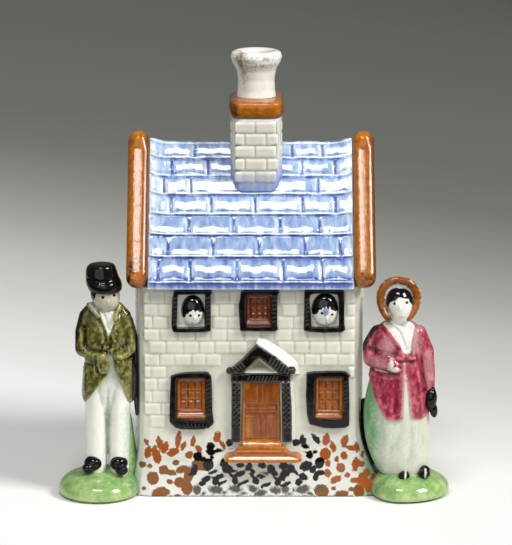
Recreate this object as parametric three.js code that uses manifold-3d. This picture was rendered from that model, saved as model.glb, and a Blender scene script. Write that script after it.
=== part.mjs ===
// A cottage money box in painted and glazed earthenware, early nineteenth century in form: a stone
// cottage with a slate roof and a chimney, two faces at the upper windows, and a man and a woman
// standing at its sides on grassy mounds. Coins go in through a slot in the back of the roof.
// Millimetres, +Z up, the front of the cottage faces -Y. The origin is at the middle of the
// bottom of the whole piece.
import * as THREE from "three";
import { mergeVertices } from "three/addons/utils/BufferGeometryUtils.js";
import Module from "manifold-3d";

const wasm = await Module();
wasm.setup();

// Gap left between a curved piece and the neighbour it is luted to.
const slipGap = 0.3;

// The cottage's box of four walls on a floor.
const house = {
  width: 67.4, // across the front, above the flare
  depth: 50, // front face to back face, above the flare
  wallHeight: 64.6, // standing plane to the flat top of the front and back walls
  wallThickness: 4,
  floorThickness: 4,
  sideBow: 1.5, // how far the side walls bow out at mid depth
  cornerRadius: 3.5,
  flareHeight: 21, // where the foot of the walls starts to spread
  flareSpread: 4, // how far the foot spreads at the standing plane
};

// The roof: two slabs that meet at the ridge, with lapped slates in courses that grow to the eaves.
const roof = {
  eavesThickness: 2.2, // wall top to the upper edge of the eaves
  rise: 38.2, // upper edge of the eaves to the ridge
  overhang: 2.8, // upper edge of the eaves, forward of the wall
  lipOverhang: 3.3, // lower edge of the eaves, forward of the wall
  ridgeThickness: 6.8, // measured upright at the ridge
  leftInset: 3.2, // how far inside the left wall's face the slabs end, at the barge roll
  rightInset: 2.2,
  courses: [5.9, 5.9, 6, 6.8, 6.8, 7.3, 8.2], // exposed slate heights, ridge to eaves
  slateWidth: 13.5,
  slateLift: 0.7, // how far a slate's tail stands above the next course
  jointWidth: 0.6,
  jointDepth: 0.45,
};

// The rolls that close the roof's two ends.
const barge = {
  width: 6.6,
  rise: 2.2, // above the slabs, square to the slope
  crown: 2.8, // above the ridge, where the two slopes' rolls meet
  reach: 1.2, // past the eaves
  rounding: 2.2,
};

// The coin slot, cut level through the back slope.
const coinSlot = {
  length: 38,
  height: 4.8,
  drop: 23, // ridge to the middle of the slot
};

const chimney = {
  x: 2.1, // right of the walls' middle
  width: 15,
  depth: 22,
  cornerRadius: 3.6,
  footDrop: 19, // ridge to the foot of the block that the slopes cut into
  stackRise: 8.6, // ridge to the top of the stack
  capHeight: 5,
  capOverhang: 0.4,
};

const pot = {
  height: 14.2,
  footRadius: 6.1,
  neckRadius: 5.6,
  lipRadius: 7.9,
  boreRadius: 4,
  boreDepth: 11,
};

// Windows. The upper ones hang from the wall's top, the lower ones are placed by their middle's
// height.
const windowFrame = { bar: 2, relief: 1.5 };
const pocketDepth = 1.25; // how far each opening is sunk into the wall
const upperWindow = { belowWallTop: 0.9, width: 12.2, height: 12.6 };
const lowerWindow = { z: 29.7, width: 13.6, height: 18.2, sill: 3.6 };
const windowInset = {
  upperLeft: 16.2, // the left wall's face to the window's middle
  lowerLeft: 16,
  upperRight: 11.4, // the right wall's face to the window's middle
  lowerRight: 9.9,
  upperMiddle: 0.6, // the door's middle to the window's middle, leftwards
};
const casement = { thickness: 1.5, paneGroove: 0.45, bar: 0.8 };

const door = {
  x: 3.5, // right of the walls' middle
  width: 12.1,
  bottom: 16.6,
  thickness: 0.9,
  panelDepth: 0.4,
  stile: 1.5,
};
const surround = {
  pilasterWidth: 3.2,
  relief: 1.7,
  lintelHeight: 2.8,
  pedimentHeight: 9.2,
  windowGap: 3.6, // the pediment's tip to the window above
  pedimentHalfWidth: 10,
  pedimentRelief: 2.4,
  rakeBand: 3.3, // measured upright
};
const doorstep = {
  topMargin: 0.45, // tread past the door, each side
  footMargin: 6.15, // lip past the door, each side
  apronHeight: 3.4,
  lipHeight: 2,
  tread: 1.6, // how far the top stands out from the wall
  reach: 6.6, // how far the lip stands out from the wall
};

// Faces at the upper windows: half-width, half-depth and half-height of the head.
const peeper = { halfWidth: 3.4, halfDepth: 3.6, halfHeight: 4.5, drop: 0.7, shift: 0.6 };

// The two figures, a little taller than the walls. Their forms are drawn in hundredths of their
// own height.
const man = { overWall: 7.2, standOff: 6.5, setBack: 1 };
const woman = { overWall: 2.7, standOff: 6.9, setBack: 1 };
const mound = { height: 7.6 };
const manMound = { outset: 2.1, halfWidth: 12.8, halfDepth: 13.5 };
const womanMound = { outset: 1.6, halfWidth: 14.6, halfDepth: 13.2 };

const halfWidth = house.width / 2;
const halfDepth = house.depth / 2;
const wallInside = halfDepth - house.wallThickness;
const gableInside = halfWidth - house.wallThickness;
const frontFace = -halfDepth;
const far = 200; // larger than the whole piece, for cutters

const eavesHeight = house.wallHeight + roof.eavesThickness;
const ridgeHeight = eavesHeight + roof.rise;
const roofEnds = [roof.leftInset - halfWidth, halfWidth - roof.rightInset];
const rollSides = [roofEnds[0] - barge.width, roofEnds[1] + barge.width];
const stackTop = ridgeHeight + chimney.stackRise;

upperWindow.z = house.wallHeight - upperWindow.belowWallTop - upperWindow.height / 2;
const upperSill = upperWindow.z - upperWindow.height / 2;
const windowX = {
  upperLeft: windowInset.upperLeft - halfWidth,
  lowerLeft: windowInset.lowerLeft - halfWidth,
  upperRight: halfWidth - windowInset.upperRight,
  lowerRight: halfWidth - windowInset.lowerRight,
  upperMiddle: door.x - windowInset.upperMiddle,
};

// The doorway fills what the window above it leaves.
const lintelTop = upperSill - surround.windowGap - surround.pedimentHeight;
const doorTop = lintelTop - surround.lintelHeight;
const surroundHalf = door.width / 2 + surround.pilasterWidth;
door.height = doorTop - door.bottom;

// Each figure stands beside a barge roll, standOff from its outer side to the body's middle.
for (const figure of [man, woman]) {
  figure.height = house.wallHeight + figure.overWall;
  figure.y = frontFace + figure.setBack;
}
man.x = rollSides[0] - man.standOff;
woman.x = rollSides[1] + woman.standOff;
Object.assign(manMound, { x: man.x - manMound.outset, y: man.y });
Object.assign(womanMound, { x: woman.x + womanMound.outset, y: woman.y });

// Glaze colours.
const colours = {
  pearl: 0xe6e4da,
  slate: 0x7f8fd0,
  ochre: 0xb8731d,
  black: 0x17120f,
  door: 0xa85c17,
  grass: 0x86b05a,
  coat: 0x5c6126,
  jacket: 0xa63a4f,
  potWhite: 0xf1efe9,
};

function glaze(colour) {
  return new THREE.MeshStandardMaterial({ color: colours[colour], roughness: 0.22, metalness: 0 });
}

// A closed geometry as a solid, its shared vertices merged.
function solidOf(geometry) {
  const loose = geometry.index ? geometry.toNonIndexed() : geometry.clone();
  const bare = new THREE.BufferGeometry().setAttribute("position", loose.getAttribute("position"));
  const merged = mergeVertices(bare, 1e-4);
  return new wasm.Manifold(
    new wasm.Mesh({
      numProp: 3,
      vertProperties: merged.attributes.position.array,
      triVerts: new Uint32Array(merged.index.array),
    }),
  );
}

function geometryOf(solid) {
  const mesh = solid.getMesh();
  const geometry = new THREE.BufferGeometry();
  geometry.setAttribute("position", new THREE.BufferAttribute(mesh.vertProperties.slice(), 3));
  geometry.setIndex(new THREE.BufferAttribute(mesh.triVerts.slice(), 1));
  geometry.computeVertexNormals();
  return geometry;
}

function largestBody(solid) {
  return solid.decompose().sort((a, b) => b.volume() - a.volume())[0];
}

function unite(solids) {
  return solids.reduce((whole, next) => whole.add(next));
}

// A block between two corners.
function block(x0, x1, y0, y1, z0, z1) {
  const geometry = new THREE.BoxGeometry(x1 - x0, y1 - y0, z1 - z0);
  geometry.translate((x0 + x1) / 2, (y0 + y1) / 2, (z0 + z1) / 2);
  return solidOf(geometry);
}

// A closed skin over a stack of rings that all have the same number of points, counterclockwise
// from above, lowest ring first.
function loft(rings) {
  const count = rings[0].length;
  const middles = [rings[0], rings.at(-1)].map((ring) =>
    ring.reduce((sum, p) => sum.add(p), new THREE.Vector3()).divideScalar(count),
  );
  const points = [...rings.flat(), ...middles];
  const bottom = points.length - 2;
  const top = points.length - 1;
  const index = [];
  for (let i = 0; i < count; i++) {
    const next = (i + 1) % count;
    index.push(bottom, next, i);
    const last = (rings.length - 1) * count;
    index.push(top, last + i, last + next);
    for (let r = 0; r < rings.length - 1; r++) {
      const [a, b, c, d] = [r * count + i, r * count + next, (r + 1) * count + next, (r + 1) * count + i];
      index.push(a, b, c, a, c, d);
    }
  }
  const geometry = new THREE.BufferGeometry().setFromPoints(points);
  geometry.setIndex(index);
  return geometry;
}

// An oval ring: x and y are its middle, rx and ry its half-sizes.
function ovalRing([z, x, y, rx, ry], segments) {
  return Array.from({ length: segments }, (_, i) => {
    const turn = (2 * Math.PI * i) / segments;
    return new THREE.Vector3(x + rx * Math.cos(turn), y + ry * Math.sin(turn), z);
  });
}

// A modelled form through oval rings [z, x, y, rx, ry], lowest first. grow makes the cutter for a
// neighbour, larger all round.
function ovalForm(rings, grow = 0, segments = 18) {
  const last = rings.length - 1;
  const grown = rings.map(([z, x, y, rx, ry], i) => {
    const end = i === 0 ? -grow : i === last ? grow : 0;
    return [z + end, x, y, rx + grow, ry + grow];
  });
  return solidOf(loft(grown.map((ring) => ovalRing(ring, segments))));
}

// A rounded limb between two points.
function limb(from, to, radius) {
  const [a, b] = [new THREE.Vector3(...from), new THREE.Vector3(...to)];
  const along = b.clone().sub(a);
  const geometry = new THREE.CapsuleGeometry(radius, along.length(), 4, 10);
  const turn = new THREE.Quaternion().setFromUnitVectors(new THREE.Vector3(0, 1, 0), along.normalize());
  geometry.applyQuaternion(turn);
  geometry.translate(...a.add(b).divideScalar(2).toArray());
  return solidOf(geometry);
}

function ellipsoid(x, y, z, rx, ry, rz, around = 16, upright = 10) {
  const geometry = new THREE.SphereGeometry(1, around, upright);
  geometry.rotateX(Math.PI / 2);
  geometry.scale(rx, ry, rz);
  geometry.translate(x, y, z);
  return solidOf(geometry);
}

function outline(points) {
  return new THREE.Shape(points.map(([x, y]) => new THREE.Vector2(x, y)));
}

// A shape drawn as (x, z), standing out towards the front from the plane y = back.
function reliefForm(shape, back, depth) {
  const geometry = new THREE.ExtrudeGeometry(shape, { depth, bevelEnabled: false, curveSegments: 6 });
  geometry.applyMatrix4(
    new THREE.Matrix4().makeBasis(
      new THREE.Vector3(1, 0, 0),
      new THREE.Vector3(0, 0, 1),
      new THREE.Vector3(0, -1, 0),
    ),
  );
  geometry.translate(0, back, 0);
  return solidOf(geometry);
}

// A shape drawn as (y, z), running along x between two ends.
function lengthForm(shape, x0, x1, bevel = 0) {
  const geometry = new THREE.ExtrudeGeometry(shape, {
    depth: x1 - x0 - 2 * bevel,
    bevelEnabled: bevel > 0,
    bevelThickness: bevel,
    bevelSize: bevel,
    bevelOffset: -bevel,
    bevelSegments: 3,
  });
  geometry.applyMatrix4(
    new THREE.Matrix4().makeBasis(
      new THREE.Vector3(0, 1, 0),
      new THREE.Vector3(0, 0, 1),
      new THREE.Vector3(1, 0, 0),
    ),
  );
  geometry.translate(x0 + bevel, 0, 0);
  return solidOf(geometry);
}

// How far the walls' foot has spread at a height.
function spreadAt(z) {
  const share = Math.max(0, 1 - z / house.flareHeight);
  return house.flareSpread * share ** 2.2;
}

// The walls' outline at a height: round corners, sides bowed at mid depth, grown by the spread.
function wallRing(z, grow) {
  const spread = spreadAt(z) + grow;
  const radius = house.cornerRadius;
  const quarter = [0, 30, 60, 90].map((degrees) => THREE.MathUtils.degToRad(degrees));
  const corners = [
    [halfWidth, halfDepth, 0],
    [-halfWidth, halfDepth, 90],
    [-halfWidth, -halfDepth, 180],
    [halfWidth, -halfDepth, 270],
  ];
  const ring = [];
  for (const [x, y, start] of corners) {
    const [cx, cy] = [x - Math.sign(x) * radius, y - Math.sign(y) * radius];
    for (const turn of quarter) {
      const angle = THREE.MathUtils.degToRad(start) + turn;
      const reach = radius + spread;
      ring.push(new THREE.Vector3(cx + reach * Math.cos(angle), cy + reach * Math.sin(angle), z));
    }
    if (start === 90) ring.push(new THREE.Vector3(-halfWidth - house.sideBow - spread, 0, z));
    if (start === 270) ring.push(new THREE.Vector3(halfWidth + house.sideBow + spread, 0, z));
  }
  return ring;
}

// The outside of all four walls as one form, up past the gables. grow makes the cutter for what
// is luted against the walls.
function wallForm(grow = 0) {
  const flareSteps = [0, 0.12, 0.28, 0.48, 0.72, 1].map((share) => share * house.flareHeight);
  const levels = [...flareSteps, ridgeHeight];
  return solidOf(loft(levels.map((z) => wallRing(z, grow))));
}

const eavesReach = halfDepth + roof.overhang;
const slopeLength = Math.hypot(eavesReach, roof.rise);
const slopeAngle = Math.atan2(roof.rise, eavesReach);
const ridgeUnderside = ridgeHeight - roof.ridgeThickness;

// A point on the front slope: along from the ridge, lift square to the slope.
function onSlope(along, lift) {
  return [
    -(along * Math.cos(slopeAngle) + lift * Math.sin(slopeAngle)),
    ridgeHeight - along * Math.sin(slopeAngle) + lift * Math.cos(slopeAngle),
  ];
}

// Where each course of slates ends, measured down the slope.
const courseTotal = roof.courses.reduce((sum, height) => sum + height, 0);
const courseEnds = roof.courses.map(
  (_, i) => (roof.courses.slice(0, i + 1).reduce((sum, height) => sum + height, 0) * slopeLength) / courseTotal,
);

// The front slab, its slates lapped in steps and parted by upright joints, each course's joints
// half a slate along from the last.
function slopeForm() {
  const profile = [[0, ridgeHeight]];
  courseEnds.forEach((end) => {
    profile.push(onSlope(end, roof.slateLift), onSlope(end, 0));
  });
  profile.pop();
  profile.push(
    [-(halfDepth + roof.lipOverhang), house.wallHeight],
    [-wallInside, house.wallHeight],
    [0, ridgeUnderside],
  );
  const slab = lengthForm(outline(profile), ...roofEnds);
  const joints = courseEnds.flatMap((end, row) => {
    const start = row ? courseEnds[row - 1] : 0;
    const first = roofEnds[0] + roof.slateWidth * (row % 2 ? 0.5 : 1);
    const count = Math.floor((roofEnds[1] - 1 - first) / roof.slateWidth) + 1;
    return Array.from({ length: count }, (_, i) => jointForm(first + i * roof.slateWidth, start, end));
  });
  return slab.subtract(unite(joints));
}

// The groove between two slates of one course, sunk into the slate's rising face.
function jointForm(x, start, end) {
  const groove = outline([
    onSlope(start + 0.4, -roof.jointDepth + roof.slateLift * 0.1),
    onSlope(start + 0.4, far / 100),
    onSlope(end + 0.3, far / 100),
    onSlope(end + 0.3, roof.slateLift - roof.jointDepth),
  ]);
  return lengthForm(groove, x - roof.jointWidth / 2, x + roof.jointWidth / 2);
}

function turnedRound(solid) {
  return solid.mirror([0, 1, 0]);
}

function coinSlotForm() {
  return block(
    -coinSlot.length / 2,
    coinSlot.length / 2,
    0.5,
    far,
    ridgeHeight - coinSlot.drop - coinSlot.height / 2,
    ridgeHeight - coinSlot.drop + coinSlot.height / 2,
  );
}

// One end's roll: a band that follows both slopes and stands proud of them.
function bargeForm(x0, x1) {
  const lift = barge.rise / Math.cos(slopeAngle);
  const eaves = onSlope(slopeLength + barge.reach, barge.rise);
  const side = [
    eaves,
    [-(halfDepth + roof.lipOverhang + barge.reach), house.wallHeight],
    [-wallInside, house.wallHeight],
  ];
  const mirrored = side.map(([y, z]) => [-y, z]).reverse();
  const shoulder = (lift - barge.crown) / Math.tan(slopeAngle);
  const band = outline([
    [shoulder, ridgeHeight + barge.crown],
    [-shoulder, ridgeHeight + barge.crown],
    ...side,
    [0, ridgeUnderside],
    ...mirrored,
  ]);
  return lengthForm(band, x0, x1).intersect(roundedBand(x0, x1, lift));
}

// The same band with its two outer edges rounded off.
function roundedBand(x0, x1, lift) {
  const [eavesY, eavesZ] = onSlope(slopeLength + barge.reach + 1, barge.rise);
  const round = outline([
    [0, ridgeHeight + lift],
    [eavesY, eavesZ],
    [eavesY, house.wallHeight - far],
    [-eavesY, house.wallHeight - far],
    [-eavesY, eavesZ],
  ]);
  return lengthForm(round, x0, x1, barge.rounding);
}

// A gable wall: its part of the four walls, topped by the underside of the roof.
function gableForm(side) {
  const reach = side * far;
  const [x0, x1] = side < 0 ? [reach, -gableInside] : [gableInside, reach];
  const underRoof = outline([
    [-wallInside, 0],
    [wallInside, 0],
    [wallInside, house.wallHeight - slipGap],
    [0, ridgeUnderside - slipGap],
    [-wallInside, house.wallHeight - slipGap],
  ]);
  return wallForm().intersect(lengthForm(underRoof, x0, x1));
}

function roundedRectangle(width, depth, radius) {
  const [x, y] = [width / 2 - radius, depth / 2 - radius];
  const shape = new THREE.Shape();
  shape.absarc(x, y, radius, 0, Math.PI / 2);
  shape.absarc(-x, y, radius, Math.PI / 2, Math.PI);
  shape.absarc(-x, -y, radius, Math.PI, 1.5 * Math.PI);
  shape.absarc(x, -y, radius, 1.5 * Math.PI, 2 * Math.PI);
  return shape;
}

// The stack, standing astride the ridge and cut to the slates' tails.
function stackForm() {
  const shape = roundedRectangle(chimney.width, chimney.depth, chimney.cornerRadius);
  const height = chimney.stackRise + chimney.footDrop;
  const geometry = new THREE.ExtrudeGeometry(shape, { depth: height, bevelEnabled: false, curveSegments: 5 });
  geometry.translate(chimney.x, 0, ridgeHeight - chimney.footDrop);
  const lift = (roof.slateLift + slipGap) / Math.cos(slopeAngle);
  const [eavesY, eavesZ] = onSlope(slopeLength, roof.slateLift + slipGap);
  const underRoof = outline([
    [0, ridgeHeight + lift],
    [eavesY, eavesZ],
    [-eavesY, eavesZ],
  ]);
  return solidOf(geometry).subtract(lengthForm(underRoof, -far, far));
}

// The moulded cap, swelling out past the stack and drawn in again at its top.
function capForm() {
  const grow = 2 * chimney.capOverhang;
  const bevel = chimney.capHeight / 4;
  const shape = roundedRectangle(
    chimney.width + grow,
    chimney.depth + grow,
    chimney.cornerRadius,
  );
  const geometry = new THREE.ExtrudeGeometry(shape, {
    depth: chimney.capHeight - 2 * bevel,
    bevelEnabled: true,
    bevelThickness: bevel,
    bevelSize: chimney.capOverhang,
    bevelOffset: -chimney.capOverhang,
    bevelSegments: 3,
    curveSegments: 5,
  });
  geometry.translate(chimney.x, 0, stackTop + bevel);
  return solidOf(geometry);
}

// The turned chimney pot with its blind bore, as a profile spun about its axis.
function potForm() {
  const profile = [
    [0, 0],
    [pot.footRadius, 0],
    [pot.neckRadius + 0.15, pot.height * 0.15],
    [pot.neckRadius, pot.height * 0.4],
    [pot.neckRadius + 0.5, pot.height * 0.6],
    [pot.lipRadius - 0.5, pot.height * 0.76],
    [pot.lipRadius, pot.height * 0.87],
    [pot.lipRadius - 0.5, pot.height * 0.97],
    [pot.lipRadius - 1.6, pot.height],
    [pot.boreRadius, pot.height - 0.4],
    [pot.boreRadius, pot.height - pot.boreDepth],
    [0, pot.height - pot.boreDepth],
  ].map(([x, y]) => new THREE.Vector2(x, y));
  const geometry = new THREE.LatheGeometry(profile, 28);
  geometry.rotateX(Math.PI / 2);
  geometry.translate(chimney.x, 0, stackTop + chimney.capHeight);
  return solidOf(geometry);
}

// A relief on the front wall, trimmed at its back where the wall's foot spreads out to meet it.
function clearOfFlare(relief) {
  return relief.subtract(wallForm(slipGap).intersect(block(-far, far, -far, far, -1, house.flareHeight)));
}

function rectangle(x, z, width, height) {
  const [hx, hz] = [width / 2, height / 2];
  return [
    [x - hx, z - hz],
    [x + hx, z - hz],
    [x + hx, z + hz],
    [x - hx, z + hz],
  ];
}

// The inside of a window frame: its middle, width and height.
function opening(window, x) {
  const sill = window.sill ?? windowFrame.bar;
  return {
    x,
    z: window.z + (sill - windowFrame.bar) / 2,
    width: window.width - 2 * windowFrame.bar,
    height: window.height - windowFrame.bar - sill,
  };
}

function frameForm(window, x) {
  const shape = outline(rectangle(x, window.z, window.width, window.height));
  const hole = opening(window, x);
  shape.holes.push(outline(rectangle(hole.x, hole.z, hole.width, hole.height)));
  return clearOfFlare(reliefForm(shape, frontFace, windowFrame.relief));
}

function pocketForm(hole) {
  return reliefForm(
    outline(rectangle(hole.x, hole.z, hole.width, hole.height)),
    frontFace + pocketDepth,
    pocketDepth + 1,
  );
}

// A leaded casement: a slab with its panes pressed in, columns by rows.
function casementForm(hole, columns, rows) {
  const [width, height] = [hole.width - 2 * slipGap, hole.height - 2 * slipGap];
  const slab = reliefForm(
    outline(rectangle(hole.x, hole.z, width, height)),
    frontFace + pocketDepth,
    casement.thickness,
  );
  const paneWidth = (width - (columns + 1) * casement.bar) / columns;
  const paneHeight = (height - (rows + 1) * casement.bar) / rows;
  const panes = [];
  for (let column = 0; column < columns; column++) {
    for (let row = 0; row < rows; row++) {
      const x = hole.x - width / 2 + casement.bar + paneWidth / 2 + column * (paneWidth + casement.bar);
      const z = hole.z - height / 2 + casement.bar + paneHeight / 2 + row * (paneHeight + casement.bar);
      const paneBack = frontFace + pocketDepth - casement.thickness + casement.paneGroove;
      panes.push(reliefForm(outline(rectangle(x, z, paneWidth, paneHeight)), paneBack, far));
    }
  }
  return slab.subtract(unite(panes));
}

// The door leaf: four sunk panels, the upper pair shorter than the lower.
function doorForm() {
  const middle = door.bottom + door.height / 2;
  const slab = reliefForm(
    outline(rectangle(door.x, middle, door.width, door.height)),
    frontFace,
    door.thickness,
  );
  const panelWidth = (door.width - 3 * door.stile) / 2;
  const panelHeights = [door.height * 0.42, door.height * 0.34];
  const panels = panelHeights.flatMap((height, row) => {
    const foot = door.bottom + door.stile + row * (panelHeights[0] + door.stile);
    return [-1, 1].map((side) => {
      const x = door.x + (side * (panelWidth + door.stile)) / 2;
      const shape = outline(rectangle(x, foot + height / 2, panelWidth, height));
      return reliefForm(shape, frontFace - door.thickness + door.panelDepth, far);
    });
  });
  return clearOfFlare(slab.subtract(unite(panels)));
}

function pilasterForm(side) {
  const x = door.x + side * (door.width + surround.pilasterWidth) / 2;
  const shape = outline(
    rectangle(x, door.bottom + door.height / 2, surround.pilasterWidth - 0.1, door.height),
  );
  return clearOfFlare(reliefForm(shape, frontFace, surround.relief));
}

function lintelForm() {
  const shape = rectangle(door.x, doorTop + surround.lintelHeight / 2, 2 * surroundHalf, surround.lintelHeight);
  return reliefForm(outline(shape), frontFace, surround.relief);
}

// The two raking bands of the pediment, over a plain face.
function pedimentForm() {
  const [half, rise, band] = [surround.pedimentHalfWidth, surround.pedimentHeight, surround.rakeBand];
  const triangle = (inset, lift) =>
    outline([
      [door.x - half + inset, lintelTop + lift],
      [door.x + half - inset, lintelTop + lift],
      [door.x, lintelTop + rise - (band - lift)],
    ]);
  const whole = outline([
    [door.x - half, lintelTop],
    [door.x + half, lintelTop],
    [door.x + half, lintelTop + 1],
    [door.x, lintelTop + rise],
    [door.x - half, lintelTop + 1],
  ]);
  const sunk = reliefForm(triangle(band, 0.4), frontFace - surround.relief / 2, far);
  return reliefForm(whole, frontFace, surround.pedimentRelief).subtract(sunk);
}

// The doorstep: a narrow tread, a spreading apron and an upright lip.
function doorstepForm() {
  const tread = door.width / 2 + doorstep.topMargin;
  const wide = door.width / 2 + doorstep.footMargin;
  const lip = door.bottom - doorstep.apronHeight;
  const foot = lip - doorstep.lipHeight;
  const back = frontFace + 1;
  const ring = (half, reach, z) => [
    new THREE.Vector3(door.x - half, frontFace - reach, z),
    new THREE.Vector3(door.x + half, frontFace - reach, z),
    new THREE.Vector3(door.x + half, back, z),
    new THREE.Vector3(door.x - half, back, z),
  ];
  const apron = solidOf(
    loft([
      ring(wide - 0.6, doorstep.reach - 0.8, foot),
      ring(wide, doorstep.reach, foot + 0.7),
      ring(wide, doorstep.reach, lip),
      ring(tread + 0.9, doorstep.tread + 1.2, door.bottom - 1),
      ring(tread, doorstep.tread, door.bottom - slipGap),
    ]),
  );
  return apron.subtract(wallForm(slipGap));
}

// A face at a window, its back flat against the sunk panel.
function peeperForm(hole) {
  const head = ellipsoid(
    hole.x + peeper.shift,
    frontFace + pocketDepth - peeper.halfDepth * 0.45,
    hole.z - peeper.drop,
    Math.min(peeper.halfWidth, hole.width / 2 - slipGap),
    peeper.halfDepth,
    Math.min(peeper.halfHeight, hole.height / 2 - peeper.drop - slipGap),
  );
  return head.intersect(block(-far, far, -far, frontFace + pocketDepth, 0, far));
}

// A grassy mound: a low bun, cut back where the house stands.
function moundForm(spot, grow = 0) {
  const shares = [
    [0, 0.95],
    [0.14, 0.99],
    [0.32, 1],
    [0.55, 0.94],
    [0.76, 0.8],
    [0.91, 0.58],
    [1, 0.3],
  ];
  const rings = shares.map(([level, share]) => [
    level * mound.height,
    spot.x,
    spot.y,
    share * spot.halfWidth,
    share * spot.halfDepth,
  ]);
  return ovalForm(rings, grow, 28);
}

function clearOfWalls(solid) {
  return solid.subtract(wallForm(slipGap));
}

// A form of a figure from rings [z, x, y, half-width, half-depth] in hundredths of its height:
// z from the standing plane, x and y from the figure's own middle.
function figureForm(figure, rings, grow = 0, segments = 18) {
  const unit = figure.height / 100;
  const placed = rings.map(([z, x, y, rx, ry]) => [
    z * unit,
    figure.x + x * unit,
    figure.y + y * unit,
    rx * unit,
    ry * unit,
  ]);
  return ovalForm(placed, grow, segments);
}

// A limb of a figure between two points [x, y, z], in the same units.
function figureLimb(figure, from, to, radius) {
  const unit = figure.height / 100;
  const place = ([x, y, z]) => [figure.x + x * unit, figure.y + y * unit, z * unit];
  return limb(place(from), place(to), radius * unit);
}

// An egg-shaped part of a figure: its middle and half-sizes [x, y, z], in the same units.
function figureEgg(figure, [x, y, z], [rx, ry, rz], around = 14, upright = 10) {
  const unit = figure.height / 100;
  const middle = [figure.x + x * unit, figure.y + y * unit, z * unit];
  return ellipsoid(...middle, rx * unit, ry * unit, rz * unit, around, upright);
}

// A shape drawn as (x, z) on a figure, in the same units, through all that lies before a depth y.
function frontShape(figure, points, y) {
  const unit = figure.height / 100;
  const shape = outline(points.map(([x, z]) => [figure.x + x * unit, z * unit]));
  return reliefForm(shape, figure.y + y * unit, far);
}

// What shows of a shirt or kerchief: the chest, a little smaller all round, inside the opening.
function chestFront(figure, torso, gap, collar) {
  const chest = figureForm(
    figure,
    torso.map(([z, x, y, rx, ry]) => [z, x, y, rx - chestInset.side, ry - chestInset.front]),
  );
  const shape = gap.map(([x, z]) => [x * chestInset.share, Math.min(z + chestInset.front, collar)]);
  return chest.intersect(frontShape(figure, shape, openingDepth - chestInset.back));
}

// How far back the open front of a coat or jacket is cut, and how much smaller the chest inside it
// is, in hundredths of the figure's height.
const openingDepth = -1.7;
const chestInset = { side: 1.3, front: 0.7, back: 0.4, share: 0.86 };

// The prop of clay that rises behind the man's legs to his coat tails.
const propRings = [
  [4.2, 8.4, 5.6, 6.7, 7],
  [13.9, 7.8, 5, 5.3, 5.6],
  [26.5, 7.2, 4.5, 4, 4.7],
  [38.4, 6.7, 4.2, 3.6, 4.2],
];

function manMoundForm(grow = 0) {
  return unite([moundForm(manMound, grow), figureForm(man, propRings, grow, 14)]);
}

const manStance = 4.6; // half the distance between his legs

// The man's trousers: two legs that join at the hips.
function trousersForm(grow = 0) {
  const leg = (x) =>
    figureForm(
      man,
      [
        [8.9, x, -1.9, 3.8, 4.2],
        [16.7, x, -1.1, 4, 4.6],
        [30.6, x, -0.3, 4.6, 5.3],
        [52.9, x * 0.94, 0, 5, 5.8],
      ],
      grow,
      14,
    );
  const hips = figureForm(
    man,
    [
      [41.8, 0, 0, 7.8, 5.4],
      [50.1, 0, 0, 9.3, 6.1],
      [59.9, 0, 0, 8.8, 6.1],
    ],
    grow,
  );
  return unite([leg(-manStance), leg(manStance), hips]);
}

const manTorso = [
  [55, 0, 0, 10.4, 7.2],
  [62.7, 0, 0, 11, 7.7],
  [69.6, 0, 0.3, 11, 7.4],
  [74.5, 0, 0.6, 10.3, 6.5],
  [78, 0, 0.7, 8.5, 5.8],
  [80.2, 0, 0.8, 6.7, 5],
];
const manCollar = manTorso.at(-1)[0];
const shirtGap = [
  [-0.3, 64.8],
  [0.6, 64.8],
  [4.7, 80.8],
  [-4.5, 80.8],
];

// The man's tailcoat: chest, bent arms, and tails cut away in front of the legs.
function coatForm() {
  const tails = figureForm(man, [
    [39.6, 0.8, 1.1, 11, 8.6],
    [46, 0.7, 0.7, 11.4, 9.1],
    [52.9, 0.4, 0.4, 11, 8.5],
    [62, 0.1, 0.1, 10.4, 7.2],
  ]);
  const arms = [-1, 1].flatMap((side) => [
    figureLimb(man, [side * 9.2, 0.8, 72.7], [side * 9.9, -0.3, 63], 3.1),
    figureLimb(man, [side * 9.9, -0.3, 63], [side * 3.1, -7, 61.8], 2.6),
  ]);
  const cutaway = [
    [0.3, 56.5],
    [-7.8, 44],
    [-10.3, 36.2],
    [12, 36.2],
    [9.7, 42.6],
  ];
  const whole = unite([figureForm(man, manTorso), tails, ...arms])
    .subtract(frontShape(man, cutaway, openingDepth))
    .subtract(frontShape(man, shirtGap, openingDepth))
    .subtract(trousersForm(slipGap))
    .subtract(manMoundForm(slipGap));
  return clearOfWalls(whole);
}

function manHeadForm() {
  const rings = [
    [80.6, 0, 0.3, 4.6, 4.5],
    [81.9, 0, -0.4, 5.6, 5.6],
    [84.4, 0, -0.6, 6.3, 6.3],
    [88.3, 0, -0.3, 6.3, 6.3],
  ];
  return figureForm(man, rings, 0, 16);
}

function hatForm() {
  return figureForm(man, [
    [88.3, 0.3, -0.6, 7.1, 7.2],
    [89.6, 0.4, -0.6, 7.5, 7.9],
    [90.9, 0.1, -0.4, 7.5, 7.4],
    [93, -0.8, -0.1, 7.1, 6.8],
    [96.8, -1.4, 0, 6.7, 6.4],
    [98.9, -1.5, 0, 6, 5.8],
    [100, -1.5, 0, 4.5, 4.5],
  ]);
}

// A shoe, its toe to the front, as much of it as shows outside the legs or the hem and the mound.
function shoeForm(figure, middle, halfSizes, under, clothes) {
  const whole = figureEgg(figure, middle, halfSizes, 12, 8);
  const front = whole.intersect(block(-far, far, -far, figure.y + (openingDepth * figure.height) / 100, 0, far));
  return largestBody(front.subtract(under).subtract(clothes));
}

function manShoeForm(side) {
  const middle = [side * manStance, -3.6, 11.4];
  return shoeForm(man, middle, [4, 7.2, 4.7], manMoundForm(slipGap), trousersForm(slipGap));
}

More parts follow.
